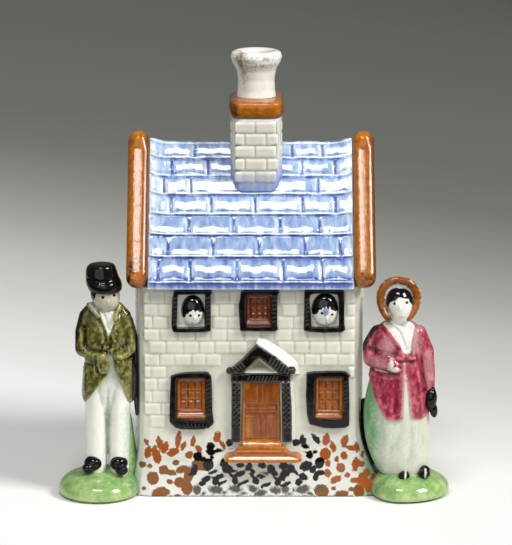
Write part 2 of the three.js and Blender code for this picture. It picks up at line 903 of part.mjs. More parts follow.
// The woman's gown below her jacket, fuller towards the house.
function skirtForm(grow = 0) {
  return figureForm(
    woman,
    [
      [10.1, 1.5, 0, 11, 8.9],
      [12.8, 1.3, 0, 11.7, 9.4],
      [22.3, -0.1, 0, 13.5, 9.7],
      [32.7, -0.7, 0, 14.7, 9.5],
      [44.6, -0.7, 0, 14.3, 8.9],
      [55, 0, 0, 12.2, 7.7],
    ],
    grow,
  );
}

const womanStance = [1.5, 9.8]; // her two shoes' middles

function womanShoeForm(x) {
  const middle = [x, -8.9, 10.4];
  return shoeForm(woman, middle, [3, 5.1, 3.9], moundForm(womanMound, slipGap), skirtForm(slipGap));
}

const womanTorso = [
  [50.5, 0.3, 0, 13.5, 9.5],
  [56.5, 0.1, 0, 12.8, 8.6],
  [62.4, -0.3, 0, 12.6, 8],
  [69.8, -0.7, 0.1, 13.2, 8.3],
  [74.9, -0.9, 0.4, 12.5, 7.6],
  [78.2, -0.7, 0.7, 10.4, 6.5],
  [80.2, -0.6, 0.9, 8, 5.6],
];
const womanCollar = womanTorso.at(-1)[0];
const kerchiefGap = [
  [-0.3, 63.9],
  [1.8, 63.9],
  [6.8, 81.1],
  [-5.9, 81.1],
];
const jacketThickness = 1.1;

// The jacket's skirt: a layer over the gown, cut slanting at her side and open down the front.
function jacketSkirtForm() {
  const panel = [
    [-14.3, 57.9],
    [-12.5, 53.3],
    [-7.7, 37.7],
    [-6.5, 36.4],
    [1.9, 36.4],
    [1.9, 56.5],
    [5.6, 36.4],
    [14, 36.4],
    [17.8, 44.6],
    [17.8, 57.9],
  ];
  return skirtForm(jacketThickness).intersect(frontShape(woman, panel, 100));
}

// The woman's jacket: belted chest, one bent arm, one hanging, and its skirt.
function jacketForm() {
  const arms = [
    figureLimb(woman, [-11.3, 0.6, 73.4], [-12.3, 0, 64.8], 3.4),
    figureLimb(woman, [-12.3, 0, 64.8], [-0.7, -7.4, 60.3], 3),
    figureLimb(woman, [10.4, 0.6, 73.1], [12.9, -0.6, 56.5], 3.6),
    figureLimb(woman, [12.9, -0.6, 56.5], [13.2, -1.5, 51.4], 3),
  ];
  const whole = unite([figureForm(woman, womanTorso), jacketSkirtForm(), ...arms])
    .subtract(frontShape(woman, kerchiefGap, openingDepth))
    .subtract(skirtForm(slipGap));
  return clearOfWalls(whole);
}

// The black bag that hangs from her hand, against the side of the jacket.
function bagForm() {
  const whole = figureEgg(woman, [14.7, -3.3, 44], [3, 4.5, 6.5]);
  const jacket = jacketForm();
  const shifts = [
    [slipGap, 0, 0],
    [slipGap, -slipGap, 0],
    [0, -slipGap, 0],
    [0, 0, -slipGap],
  ];
  const room = unite([jacket, ...shifts.map((shift) => jacket.translate(shift))]);
  return largestBody(whole.subtract(room).subtract(skirtForm(slipGap)));
}

const womanHead = [
  [80.7, 0, 0, 5.5, 4.8],
  [82.6, 0, -0.9, 5.9, 5.9],
  [86.2, 0, -1.2, 6.5, 6.5],
  [90.6, 0, -0.9, 6.5, 6.5],
  [94.2, 0, -0.3, 5.1, 5.3],
  [95.7, 0, 0, 2.7, 3.3],
];

// The bonnet: a crown behind the head and a horseshoe brim round the face, open under the chin.
const bonnet = { x: -1, z: 90, halfWidth: 10.4, halfHeight: 10, brim: 3.3 };

function bonnetForm() {
  const unit = woman.height / 100;
  const crown = figureEgg(woman, [bonnet.x, 2.1, bonnet.z], [8.3, 8.3, 8.9], 18, 12);
  const rim = new THREE.Shape();
  rim.absellipse(0, 0, bonnet.halfWidth * unit, bonnet.halfHeight * unit, 0, 2 * Math.PI);
  const face = new THREE.Path();
  const [faceWidth, faceHeight] = [bonnet.halfWidth - bonnet.brim, bonnet.halfHeight - bonnet.brim];
  face.absellipse(0, 0, faceWidth * unit, faceHeight * unit, 0, 2 * Math.PI);
  rim.holes.push(face);
  const brim = reliefForm(rim, -unit, 3.6 * unit).translate([
    woman.x + bonnet.x * unit,
    woman.y,
    bonnet.z * unit,
  ]);
  const chin = [
    [-6.4, 84.1],
    [-8.8, 72.2],
    [6.7, 72.2],
    [4.3, 84.1],
  ];
  const collar = block(-far, far, -far, far, 0, womanCollar * unit + slipGap);
  return crown
    .add(brim)
    .subtract(frontShape(woman, chin, 100))
    .subtract(figureForm(woman, womanHead, slipGap))
    .subtract(collar)
    .subtract(bargeForm(roofEnds[1], rollSides[1] + slipGap));
}

// Named meshes, in the order a potter would put them together.
const moneyBox = new THREE.Group();
moneyBox.name = "money_box";

function place(name, solid, colour) {
  const mesh = new THREE.Mesh(geometryOf(solid), glaze(colour));
  mesh.name = name;
  moneyBox.add(mesh);
}

const openings = {
  upperLeft: opening(upperWindow, windowX.upperLeft),
  upperMiddle: opening(upperWindow, windowX.upperMiddle),
  upperRight: opening(upperWindow, windowX.upperRight),
  lowerLeft: opening(lowerWindow, windowX.lowerLeft),
  lowerRight: opening(lowerWindow, windowX.lowerRight),
};

function addHouse() {
  const walls = wallForm();
  const belowRoof = [0, house.wallHeight];
  const front = walls
    .intersect(block(-far, far, -far, -wallInside, ...belowRoof))
    .subtract(unite(Object.values(openings).map(pocketForm)));
  place("floor_slab", block(-gableInside, gableInside, -wallInside, wallInside, 0, house.floorThickness), "pearl");
  place("front_wall", front, "pearl");
  place("back_wall", walls.intersect(block(-far, far, wallInside, far, ...belowRoof)), "pearl");
  place("left_gable_wall", gableForm(-1), "pearl");
  place("right_gable_wall", gableForm(1), "pearl");
}

function addRoof() {
  place("front_roof_slope", slopeForm(), "slate");
  place("back_roof_slope", turnedRound(slopeForm()).subtract(coinSlotForm()), "slate");
  place("left_barge_roll", bargeForm(rollSides[0], roofEnds[0]), "ochre");
  place("right_barge_roll", bargeForm(roofEnds[1], rollSides[1]), "ochre");
  place("chimney_stack", stackForm(), "pearl");
  place("chimney_cap", capForm(), "ochre");
  place("chimney_pot", potForm(), "potWhite");
}

function addFront() {
  place("upper_left_window_frame", frameForm(upperWindow, windowX.upperLeft), "black");
  place("upper_middle_window_frame", frameForm(upperWindow, windowX.upperMiddle), "black");
  place("upper_right_window_frame", frameForm(upperWindow, windowX.upperRight), "black");
  place("lower_left_window_frame", frameForm(lowerWindow, windowX.lowerLeft), "black");
  place("lower_right_window_frame", frameForm(lowerWindow, windowX.lowerRight), "black");
  place("upper_middle_casement", casementForm(openings.upperMiddle, 2, 2), "door");
  place("lower_left_casement", casementForm(openings.lowerLeft, 2, 3), "door");
  place("lower_right_casement", casementForm(openings.lowerRight, 2, 3), "door");
  place("left_window_face", peeperForm(openings.upperLeft), "pearl");
  place("right_window_face", peeperForm(openings.upperRight), "pearl");
  place("door_leaf", doorForm(), "door");
  place("left_door_pilaster", pilasterForm(-1), "black");
  place("right_door_pilaster", pilasterForm(1), "black");
  place("door_lintel", lintelForm(), "black");
  place("door_pediment", pedimentForm(), "black");
  place("doorstep", doorstepForm(), "door");
}

function addMan() {
  place("man_mound", clearOfWalls(manMoundForm()), "grass");
  place("man_left_shoe", manShoeForm(-1), "black");
  place("man_right_shoe", manShoeForm(1), "black");
  place("man_trousers", trousersForm().subtract(manMoundForm(slipGap)), "pearl");
  place("man_tailcoat", coatForm(), "coat");
  place("man_shirt_front", chestFront(man, manTorso.slice(1), shirtGap, manCollar), "pearl");
  place("man_head", manHeadForm(), "pearl");
  place("man_hat", hatForm(), "black");
}

function addWoman() {
  place("woman_mound", clearOfWalls(moundForm(womanMound)), "grass");
  place("woman_left_shoe", womanShoeForm(womanStance[0]), "black");
  place("woman_right_shoe", womanShoeForm(womanStance[1]), "black");
  place("woman_skirt", clearOfWalls(skirtForm().subtract(moundForm(womanMound, slipGap))), "pearl");
  place("woman_jacket", jacketForm(), "jacket");
  place("woman_kerchief", chestFront(woman, womanTorso.slice(2), kerchiefGap, womanCollar), "pearl");
  place("woman_bag", bagForm(), "black");
  place("woman_head", figureForm(woman, womanHead, 0, 16), "pearl");
  place("woman_bonnet", bonnetForm(), "ochre");
}

addHouse();
addRoof();
addFront();
addMan();
addWoman();

// The whole piece is set on its origin: the middle of its box, on the standing plane.
const bounds = new THREE.Box3().setFromObject(moneyBox);
const middle = bounds.getCenter(new THREE.Vector3());
moneyBox.position.set(-middle.x, -middle.y, -bounds.min.z);

const part = new THREE.Group();
part.add(moneyBox);

export default part;
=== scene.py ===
# %% [markdown]
# # A cottage money box in glazed pottery
# The real piece is pressed from soft clay in plaster moulds, luted together with slip, painted with
# metal oxides and covered with one clear glaze. Everything about its look comes from that: no edge
# is sharp, colour pools in hollows and thins on edges, and the whole surface shines.
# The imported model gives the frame. Each visible piece here stands for one of its nodes.

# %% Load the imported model
import math
import numpy as np
import bpy
from mathutils import Matrix, Vector


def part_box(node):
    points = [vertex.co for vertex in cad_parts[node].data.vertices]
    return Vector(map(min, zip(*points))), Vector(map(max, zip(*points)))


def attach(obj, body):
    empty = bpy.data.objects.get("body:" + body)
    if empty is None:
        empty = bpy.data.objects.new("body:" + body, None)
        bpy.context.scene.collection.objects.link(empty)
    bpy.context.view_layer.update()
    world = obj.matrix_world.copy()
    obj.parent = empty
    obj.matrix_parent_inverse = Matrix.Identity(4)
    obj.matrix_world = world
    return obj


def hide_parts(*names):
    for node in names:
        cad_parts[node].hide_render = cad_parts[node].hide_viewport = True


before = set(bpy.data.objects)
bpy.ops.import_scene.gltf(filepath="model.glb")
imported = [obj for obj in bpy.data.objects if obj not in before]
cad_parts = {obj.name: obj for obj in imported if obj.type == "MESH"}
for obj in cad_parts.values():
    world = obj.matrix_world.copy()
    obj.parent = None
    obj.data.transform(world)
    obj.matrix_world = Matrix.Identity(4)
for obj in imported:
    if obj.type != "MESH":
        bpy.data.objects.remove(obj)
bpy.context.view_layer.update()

mm = 0.001
print("nodes:", len(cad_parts))

# %% [markdown]
# Everything is laid out from the middle of the cottage's floor, in millimetres: x to the right, y
# to the back, z up. One function turns such a place into the scene's metres. Reliefs on the front
# start at the seat, a hair off the wall's face. Cutters reach from far in front to far behind.

# %% A place on the cottage
floor_low, floor_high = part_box("floor_slab")
cottage_middle = (floor_low + floor_high) / 2


def at(x, y, z):
    return Vector((cottage_middle.x + x * mm, cottage_middle.y + y * mm, z * mm))


front_face = -25.0
seat = front_face - 0.02
wall_top = 64.6
ridge = 105.0
far_front, far_back = -60, 20
print("cottage middle:", cottage_middle)

# %% [markdown]
# The camera stands far away and above the roof, as for a sale photograph: a long lens looks down
# at the piece by thirteen degrees.

# %% Camera
camera_rise = math.radians(13)
camera_distance = 900 * mm
target = at(2.0, -15.0, 66.9)
away = Vector((0, -math.cos(camera_rise), math.sin(camera_rise)))
bpy.ops.object.camera_add(
    location=target + away * camera_distance,
    rotation=(math.pi / 2 - camera_rise, 0, 0),
)
camera = bpy.context.object
camera.data.sensor_fit = "VERTICAL"
camera.data.sensor_height = 36
camera.data.lens = 195.6
camera.data.clip_start = 0.05
bpy.context.scene.camera = camera
print("camera at", camera.location)

# %% [markdown]
# Every modelling step below uses the same few moves: select only what is meant, make a block, make
# a form from rings, make a prism from an outline, fuse pieces into one lump of clay, and cut one
# with another. Fusing is a voxel remesh: it melts joined forms into one skin as slip does, and a
# little smoothing rounds every edge as a mould and glaze do.

# %% Select, copy and delete
def only(*pieces):
    if bpy.context.object and bpy.context.object.mode != "OBJECT":
        bpy.ops.object.mode_set(mode="OBJECT")
    bpy.ops.object.select_all(action="DESELECT")
    for piece in pieces:
        piece.select_set(True)
    bpy.context.view_layer.objects.active = pieces[0]


def edit_all():
    bpy.ops.object.mode_set(mode="EDIT")
    bpy.ops.mesh.select_all(action="SELECT")


def leave_edit():
    bpy.ops.object.mode_set(mode="OBJECT")


def settle():
    bpy.ops.object.transform_apply(location=True, rotation=True, scale=True)
    return bpy.context.object


def copy_of(piece, matrix=None):
    twin = piece.copy()
    twin.data = piece.data.copy()
    bpy.context.scene.collection.objects.link(twin)
    if matrix is not None:
        twin.data.transform(matrix)
    return twin


def stretched(place, size):
    return Matrix.Translation(place) @ Matrix.Diagonal((*size, 1)) @ Matrix.Translation(-place)


def discard(*pieces):
    for piece in pieces:
        bpy.data.objects.remove(piece, do_unlink=True)


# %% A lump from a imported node, its loose corners merged
def clay_copy(node):
    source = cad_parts[node]
    lump = bpy.data.objects.new(node + "_clay", source.data.copy())
    bpy.context.scene.collection.objects.link(lump)
    lump.data.materials.clear()
    only(lump)
    edit_all()
    bpy.ops.mesh.remove_doubles(threshold=0.002 * mm)
    leave_edit()
    return lump


# %% A block with rounded edges, between two corners
def block(low, high, rounding=0.0, steps=2):
    low, high = Vector(low), Vector(high)
    bpy.ops.mesh.primitive_cube_add(size=1, location=at(*((low + high) / 2)),
                                    scale=(high - low) * mm)
    piece = settle()
    if rounding:
        edit_all()
        bpy.ops.mesh.bevel(offset=rounding * mm, segments=steps, affect="EDGES")
        leave_edit()
    return piece


# %% A form through oval rings, lowest first: height, middle x and y, half-width, half-depth
def ring_form(rings, middle=(0.0, 0.0), around=36):
    z, x, y, half_width, half_depth = rings[0]
    spot = at(middle[0] + x, middle[1] + y, z)
    bpy.ops.mesh.primitive_circle_add(vertices=around, radius=1, fill_type="NGON", location=spot)
    bpy.context.object.scale = (half_width * mm, half_depth * mm, 1)
    form = settle()
    edit_all()
    for z, x, y, next_width, next_depth in rings[1:]:
        next_spot = at(middle[0] + x, middle[1] + y, z)
        bpy.ops.mesh.extrude_region_move(TRANSFORM_OT_translate={"value": next_spot - spot})
        bpy.ops.transform.resize(
            value=(next_width / half_width, next_depth / half_depth, 1),
            center_override=next_spot,
        )
        spot, half_width, half_depth = next_spot, next_width, next_depth
    bpy.ops.mesh.select_all(action="SELECT")
    bpy.ops.mesh.normals_make_consistent(inside=False)
    leave_edit()
    rounded = form.modifiers.new("soft rings", "SUBSURF")
    rounded.levels = rounded.render_levels = 2
    bpy.ops.object.modifier_apply(modifier=rounded.name)
    return form


# %% A limb that tapers between two places
def limb(start, end, radius, end_radius=None, middle=(0.0, 0.0)):
    end_radius = radius if end_radius is None else end_radius
    a = at(start[0] + middle[0], start[1] + middle[1], start[2])
    b = at(end[0] + middle[0], end[1] + middle[1], end[2])
    turn = (b - a).to_track_quat("Z", "Y").to_euler()
    pieces = []
    bpy.ops.mesh.primitive_cone_add(
        vertices=20, radius1=radius * mm, radius2=end_radius * mm, depth=(b - a).length,
        location=(a + b) / 2, rotation=turn,
    )
    pieces.append(settle())
    for spot, size in ((a, radius), (b, end_radius)):
        bpy.ops.mesh.primitive_uv_sphere_add(segments=20, ring_count=12, radius=size * mm,
                                             location=spot)
        pieces.append(settle())
    return pieces


# %% An egg: a middle, half-sizes and a tilt in degrees about x, y and z
def egg(middle, half, tilt=(0, 0, 0)):
    bpy.ops.mesh.primitive_uv_sphere_add(
        segments=24, ring_count=16, radius=1, location=at(*middle),
        rotation=[math.radians(angle) for angle in tilt],
    )
    bpy.context.object.scale = [size * mm for size in half]
    return settle()


# %% A prism: an outline in the picture plane (x, z), from one depth y to another
def prism(outline, near, far, across="y"):
    bpy.ops.mesh.primitive_circle_add(vertices=len(outline), radius=1, fill_type="NGON")
    piece = bpy.context.object
    for corner, (u, v) in zip(piece.data.vertices, outline):
        corner.co = at(u, near, v) if across == "y" else at(near, u, v)
    reach = (far - near) * mm
    edit_all()
    bpy.ops.mesh.extrude_region_move(
        TRANSFORM_OT_translate={"value": (0, reach, 0) if across == "y" else (reach, 0, 0)}
    )
    bpy.ops.mesh.select_all(action="SELECT")
    bpy.ops.mesh.quads_convert_to_tris(ngon_method="CLIP")
    bpy.ops.mesh.normals_make_consistent(inside=False)
    leave_edit()
    return piece


# %% Fuse lumps into one skin
def fuse(lumps, grain, passes, soft=0.5):
    only(*lumps)
    if len(lumps) > 1:
        bpy.ops.object.join()
    piece = bpy.context.object
    melt = piece.modifiers.new("melt", "REMESH")
    melt.mode = "VOXEL"
    melt.voxel_size = grain * mm
    bpy.ops.object.modifier_apply(modifier=melt.name)
    if passes:
        rub = piece.modifiers.new("rub", "SMOOTH")
        rub.factor = soft
        rub.iterations = passes
        bpy.ops.object.modifier_apply(modifier=rub.name)
    return piece


# %% Cut one form with another, or keep only what they share
def carve(piece, cutter, operation="DIFFERENCE"):
    only(piece)
    cut = piece.modifiers.new("cut", "BOOLEAN")
    cut.operation = operation
    cut.object = cutter
    cut.solver = "EXACT"
    bpy.ops.object.modifier_apply(modifier=cut.name)
    discard(cutter)
    return piece


# %% [markdown]
# Paint on the real piece is laid by brush, so its edges wander a little. Where a colour belongs is
# stored on each corner of the mesh as a distance in millimetres, negative inside the stroke, and
# the material turns that into an edge with some wobble. How hollow the surface is gets stored in
# the same way, because glaze gathers in hollows and runs off edges. Where a stroke doesn't reach,
# its distance is simply a large one.

# %% Corners of a piece in the cottage's millimetres
elsewhere = 50.0


def corners(piece):
    flat = np.empty(len(piece.data.vertices) * 3, np.float32)
    piece.data.vertices.foreach_get("co", flat)
    return (flat.reshape(-1, 3) - np.array(at(0, 0, 0), np.float32)) / mm


def store(piece, name, values):
    field = piece.data.attributes.new(name, "FLOAT", "POINT")
    field.data.foreach_set("value", np.asarray(values, np.float32))


def leave_bare(piece, *zones):
    for zone in zones:
        store(piece, zone, np.full(len(piece.data.vertices), elsewhere))


def smooth(share):
    share = np.clip(share, 0, 1)
    return share * share * (3 - 2 * share)


# %% How hollow the surface is, in millimetres, and how much more colour is painted on
def store_pool(piece, steps, painted_tone=0.0):
    place = corners(piece).astype(np.float64)
    count = len(place)
    ends = np.empty(len(piece.data.edges) * 2, np.int32)
    piece.data.edges.foreach_get("vertices", ends)
    a, b = ends.reshape(-1, 2).T
    neighbours = np.bincount(a, minlength=count) + np.bincount(b, minlength=count)
    soft = place.copy()
    for _ in range(steps):
        total = np.stack(
            [
                np.bincount(a, soft[b, axis], count) + np.bincount(b, soft[a, axis], count)
                for axis in range(3)
            ],
            axis=1,
        )
        soft = total / np.maximum(neighbours, 1)[:, None]
    outward = np.empty(count * 3, np.float32)
    piece.data.vertex_normals.foreach_get("vector", outward)
    hollow = ((soft - place) * outward.reshape(-1, 3)).sum(axis=1)
    store(piece, "pool", hollow + painted_tone)


# %% Distances for strokes: a dot, a line between two places, a filled outline
def dot(u, v, place, size):
    return np.hypot(u - place[0], v - place[1]) - size


def oval(u, v, place, half, turn=0.0):
    angle = math.radians(turn)
    du, dv = u - place[0], v - place[1]
    along = (du * math.cos(angle) + dv * math.sin(angle)) / half[0]
    across = (-du * math.sin(angle) + dv * math.cos(angle)) / half[1]
    return (np.hypot(along, across) - 1) * min(half)


def line(u, v, start, end, width):
    du, dv = end[0] - start[0], end[1] - start[1]
    share = ((u - start[0]) * du + (v - start[1]) * dv) / (du * du + dv * dv)
    share = np.clip(share, 0, 1)
    return np.hypot(u - start[0] - share * du, v - start[1] - share * dv) - width / 2


def area(u, v, outline):
    inside = np.zeros(len(u), bool)
    away = np.full(len(u), 1e9)
    for (u0, v0), (u1, v1) in zip(outline, outline[1:] + outline[:1]):
        away = np.minimum(away, line(u, v, (u0, v0), (u1, v1), 0))
        crosses = (v0 > v) != (v1 > v)
        slope = (u1 - u0) / (v1 - v0) if v1 != v0 else 0.0
        inside ^= crosses & (u < u0 + (v - v0) * slope)
    return np.where(inside, -away, away)


def nearest(*distances):
    return np.minimum.reduce(distances)


def path(u, v, spots, width):
    return nearest(*[line(u, v, start, end, width) for start, end in zip(spots, spots[1:])])


# %% Press a groove into the front of a piece with a rounded tool, where the distance is small
def press(piece, away, depth, soft):
    outward = np.empty(len(piece.data.vertices) * 3, np.float32)
    piece.data.vertex_normals.foreach_get("vector", outward)
    facing = np.clip(-outward.reshape(-1, 3)[:, 1] * 1.6, 0, 1)
    place = np.empty_like(outward)
    piece.data.vertices.foreach_get("co", place)
    place = place.reshape(-1, 3)
    place[:, 1] += depth * mm * facing * smooth(1 - away / soft)
    piece.data.vertices.foreach_set("co", place.ravel())
    piece.data.update()


# %% [markdown]
# The glaze is clear lead glaze over oxides on white clay. Its gloss is that of glass: an index of
# refraction of about 1.5 and a very smooth top, with the faint waviness of a skin that flowed.
# One recipe serves all colours. The colour runs from thin, on edges, to deep, in pools, with soft
# clouds from the brush, and painted zones lie over it. The coat is the clear glaze. It is weaker
# on walls and blacks, which would mirror too much of the pale paper otherwise.

# %% Colours and a node with its settings and links
shade_share = 0.72
speck_size, skin_size, grain_size = 0.9 * mm, 1.1 * mm, 0.32 * mm
glass_index = 1.5


def linear(colour):
    parts = [int(colour[i : i + 2], 16) / 255 for i in (1, 3, 5)]
    return [p / 12.92 if p <= 0.04045 else ((p + 0.055) / 1.055) ** 2.4 for p in parts] + [1]


def shaded(colour):
    return [part * shade_share for part in linear(colour)[:3]] + [1]


def add(tree, kind, sockets=None, **settings):
    node = tree.nodes.new(kind)
    for name, value in settings.items():
        setattr(node, name, value)
    for name, value in (sockets or {}).items():
        if isinstance(value, bpy.types.NodeSocket):
            tree.links.new(value, node.inputs[name])
        else:
            node.inputs[name].default_value = value
    return node


# %% The recipe for a coloured glaze
def glaze(name, thin, body, deep, cloud=4.0, cloud_share=0.35, pool_gain=4.0, gloss=0.05,
          ripple=0.012, pits=0.0, drawn=(1, 1, 1), coat=1.0, zones=()):
    material = bpy.data.materials.new(name)
    material.use_nodes = True
    tree = material.node_tree
    tree.nodes.clear()
    place = add(tree, "ShaderNodeTexCoord").outputs["Object"]
    strokes = add(tree, "ShaderNodeVectorMath", {0: place, 1: drawn}, operation="MULTIPLY")
    clouds = add(tree, "ShaderNodeTexNoise",
                 {"Vector": strokes.outputs[0], "Scale": 1 / (cloud * mm), "Detail": 4.0,
                  "Roughness": 0.65})
    specks = add(tree, "ShaderNodeTexNoise",
                 {"Vector": place, "Scale": 1 / speck_size, "Detail": 2.0, "Roughness": 0.5})
    pool = add(tree, "ShaderNodeAttribute", attribute_name="pool")
    cloudy = add(tree, "ShaderNodeMath", {0: clouds.outputs["Fac"], 1: 0.5}, operation="SUBTRACT")
    cloudy = add(tree, "ShaderNodeMath", {0: cloudy.outputs[0], 1: cloud_share * 2, 2: 0.5},
                 operation="MULTIPLY_ADD")
    depth = add(tree, "ShaderNodeMath",
                {0: pool.outputs["Fac"], 1: pool_gain, 2: cloudy.outputs[0]},
                operation="MULTIPLY_ADD")
    ramp = add(tree, "ShaderNodeValToRGB", {"Fac": depth.outputs[0]})
    ramp.color_ramp.elements[0].position = 0.1
    ramp.color_ramp.elements[0].color = linear(thin)
    ramp.color_ramp.elements[1].position = 0.95
    ramp.color_ramp.elements[1].color = linear(deep)
    ramp.color_ramp.elements.new(0.5).color = linear(body)
    colour = ramp.outputs["Color"]
    for zone, paint, edge, wander in zones:
        away = add(tree, "ShaderNodeAttribute", attribute_name=zone)
        wobble = add(tree, "ShaderNodeMath",
                     {0: specks.outputs["Fac"], 1: wander * 4, 2: -wander * 2},
                     operation="MULTIPLY_ADD")
        bent = add(tree, "ShaderNodeMath", {0: away.outputs["Fac"], 1: wobble.outputs[0]})
        share = add(tree, "ShaderNodeMapRange",
                    {"Value": bent.outputs[0], "From Min": -edge, "From Max": edge,
                     "To Min": 1.0, "To Max": 0.0})
        tone = add(tree, "ShaderNodeMix",
                   {0: clouds.outputs["Fac"], 6: linear(paint), 7: shaded(paint)},
                   data_type="RGBA")
        mix = add(tree, "ShaderNodeMix", {0: share.outputs[0], 6: colour, 7: tone.outputs[2]},
                  data_type="RGBA")
        colour = mix.outputs[2]
    skin = add(tree, "ShaderNodeTexNoise",
               {"Vector": place, "Scale": 1 / skin_size, "Detail": 2.0, "Roughness": 0.4})
    bump = add(tree, "ShaderNodeBump",
               {"Height": skin.outputs["Fac"], "Strength": 1.0, "Distance": ripple * mm})
    if pits:
        grains = add(tree, "ShaderNodeTexNoise",
                     {"Vector": place, "Scale": 1 / grain_size, "Detail": 1.0, "Roughness": 0.5})
        bump = add(tree, "ShaderNodeBump",
                   {"Height": grains.outputs["Fac"], "Strength": 1.0, "Distance": pits * mm,
                    "Normal": bump.outputs[0]})
    shader = add(tree, "ShaderNodeBsdfPrincipled",
                 {"Base Color": colour, "Roughness": 0.5, "IOR": glass_index,
                  "Specular IOR Level": 0.0,
                  "Coat Weight": coat, "Coat Roughness": gloss, "Coat IOR": glass_index,
                  "Normal": bump.outputs[0], "Coat Normal": bump.outputs[0]})
    add(tree, "ShaderNodeOutputMaterial", {"Surface": shader.outputs[0]})
    return material


# %% [markdown]
# The white of the walls, trousers and skirt is pearlware: a clear lead glaze over a cream body.
# It looks ivory where it lies thin, and turns to a warm grey in the hollows of the walls and to a
# greenish one in those of the clothes.

# %% Pearlware, pressed in a mould, dipped in clear glaze
pearl_white = ("#e9e7da", "#d8d6c6", "#9f9c86")
wall_zones = [
    # Painted light: the foot zone paints the lower front paler, where its flaring foot takes the
    # light.
    ("foot", "#dfe0d6", 5.0, 0.8),
    ("grass_wash", "#86b189", 1.8, 0.6),
    ("umber", "#84501f", 0.12, 0.26),
    ("rust", "#a05626", 0.12, 0.28),
    # Grey sponge dabs, and painted shade in the gap behind her gown.
    ("grey_dabs_and_shade", "#57534a", 0.30, 0.35),
    ("ink", "#0f0d0c", 0.12, 0.26),
]
pearl_wall = glaze("pearlware, pressed wall", *pearl_white, cloud=7.0, cloud_share=0.30,
                   pool_gain=4.0, coat=0.65, zones=wall_zones)
# Green: a real wash down her gown's side, and painted shade on his trousers.
figure_zones = [("green_wash_and_shade", "#9dc0a0", 2.4, 0.9), ("moss", "#6da36a", 1.0, 0.8),
                ("ink", "#120e0d", 0.10, 0.10), ("rouge", "#b98a74", 0.12, 0.05)]
# Painted light: trousers and gown share one pearlware, painted lighter on the trousers and darker
# on the gown, to even out how the light falls on them.
pearl_figure = glaze("pearlware, modelled trousers", "#f4f3ea", "#e8e7dd", "#a2a897", cloud=3.0,
                     cloud_share=0.45, pool_gain=3.0, drawn=(1, 1, 0.45), zones=figure_zones)
pearl_gown = glaze("pearlware, modelled gown", "#dfdccb", "#cfd0be", "#8b9a82", cloud=2.6,
                   cloud_share=0.55, pool_gain=3.2, drawn=(1, 1, 0.35), zones=figure_zones)
# Painted shadow: his face glaze is a darker copy of the pearlware, for the shadow of the hat.
face_in_hat_shadow = glaze("pearlware, his face under the hat", "#ded8c6", "#c9c1aa", "#8f8569", cloud=2.4,
                   cloud_share=0.45, pool_gain=2.4,
                   zones=[("ink", "#0c0908", 0.10, 0.10), ("rouge", "#a98873", 0.20, 0.05)])
linen = glaze("pearlware, linen and faces", "#f0f0e9", "#e8e8e0", "#a9aca0", cloud=3.0,
              cloud_share=0.25, pool_gain=1.6,
              zones=[("ink", "#0c0908", 0.10, 0.10), ("rouge", "#c79c8e", 0.20, 0.05)])
pearl_plain = glaze("pearlware, plain", *pearl_white, cloud=5.0, cloud_share=0.30, pool_gain=3.0)
pot_white = glaze("pearlware, turned pot", "#f4f3ec", "#eceae0", "#b3ab96", cloud=3.0,
                  cloud_share=0.25, pool_gain=2.5, zones=[("grime", "#9a8d76", 0.9, 0.9)])

# %% [markdown]
# The slates carry a thin cobalt wash. It is almost white on every raised edge and runs to violet
# blue in the joints, so the hollow of the surface does most of the painting.

# %% Cobalt wash on slates
slate_blue = glaze("cobalt wash on slates", "#e1eaf1", "#94aed2", "#46559a", cloud=2.8,
                   cloud_share=0.60, pool_gain=2.8, ripple=0.02, drawn=(1.5, 0.5, 0.5))

# %% [markdown]
# Ochre is an iron colour. It breaks to dark brown where it lies thick at the lower ends of the
# rolls, and its skin is more pitted than the rest, which gives the broken highlight.

# %% Iron ochre
ochre = glaze("iron ochre on rolls", "#c4780f", "#a25a0c", "#5c2a06", cloud=1.6, cloud_share=0.70,
              pool_gain=1.6, ripple=0.05, pits=0.036, gloss=0.05,
              zones=[("rim", "#6e3a10", 0.9, 0.3), ("scorch", "#3a1c0c", 0.6, 0.5)])
amber = glaze("iron amber on casements", "#b46823", "#904d17", "#361407", cloud=1.8,
              cloud_share=0.55, pool_gain=3.4)
amber_dark = glaze("iron amber, thick and dark", "#88451b", "#682e12", "#280e06", cloud=1.6,
                   cloud_share=0.50, pool_gain=3.4)
amber_door = glaze("iron amber on the door", "#ab621c", "#834311", "#4d220a", cloud=2.2,
                   cloud_share=0.55, pool_gain=2.2, drawn=(1.4, 1, 0.5),
                   # Painted light: lighter orange on the door's edges, and a painted highlight.
                   zones=[("bright", "#c07a24", 0.9, 0.4)])
amber_step = glaze("iron amber on the step", "#d08628", "#ad6116", "#602909", cloud=1.8,
                   cloud_share=0.60, pool_gain=2.4, zones=[("rim", "#8e4417", 0.8, 0.5)])

# %% Manganese black
black = glaze("manganese black", "#16110f", "#0b0807", "#040303", cloud=2.0, cloud_share=0.35,
              pool_gain=3.0, ripple=0.03, coat=0.65, zones=[("bare", "#dcdacb", 0.12, 0.08)])
black_frame = glaze("manganese black on window strips", "#3d3833", "#0c0a09", "#040303", cloud=2.0,
                    cloud_share=0.30, pool_gain=4.0, ripple=0.03, coat=0.6)
black_doorway = glaze("manganese black on the doorway", "#5a564e", "#0e0b0a", "#050404", cloud=2.0,
                      cloud_share=0.30, pool_gain=5.0, ripple=0.03, coat=0.6,
                      zones=[("bare", "#ecebe1", 0.12, 0.08), ("shade", "#8f8a72", 0.8, 0.2)])

# %% [markdown]
# Copper gives the grass its green. The same colour, laid thick over manganese, makes the coat's
# dark olive. The jacket is a rose colour, darker where it pools at belt and sleeves.

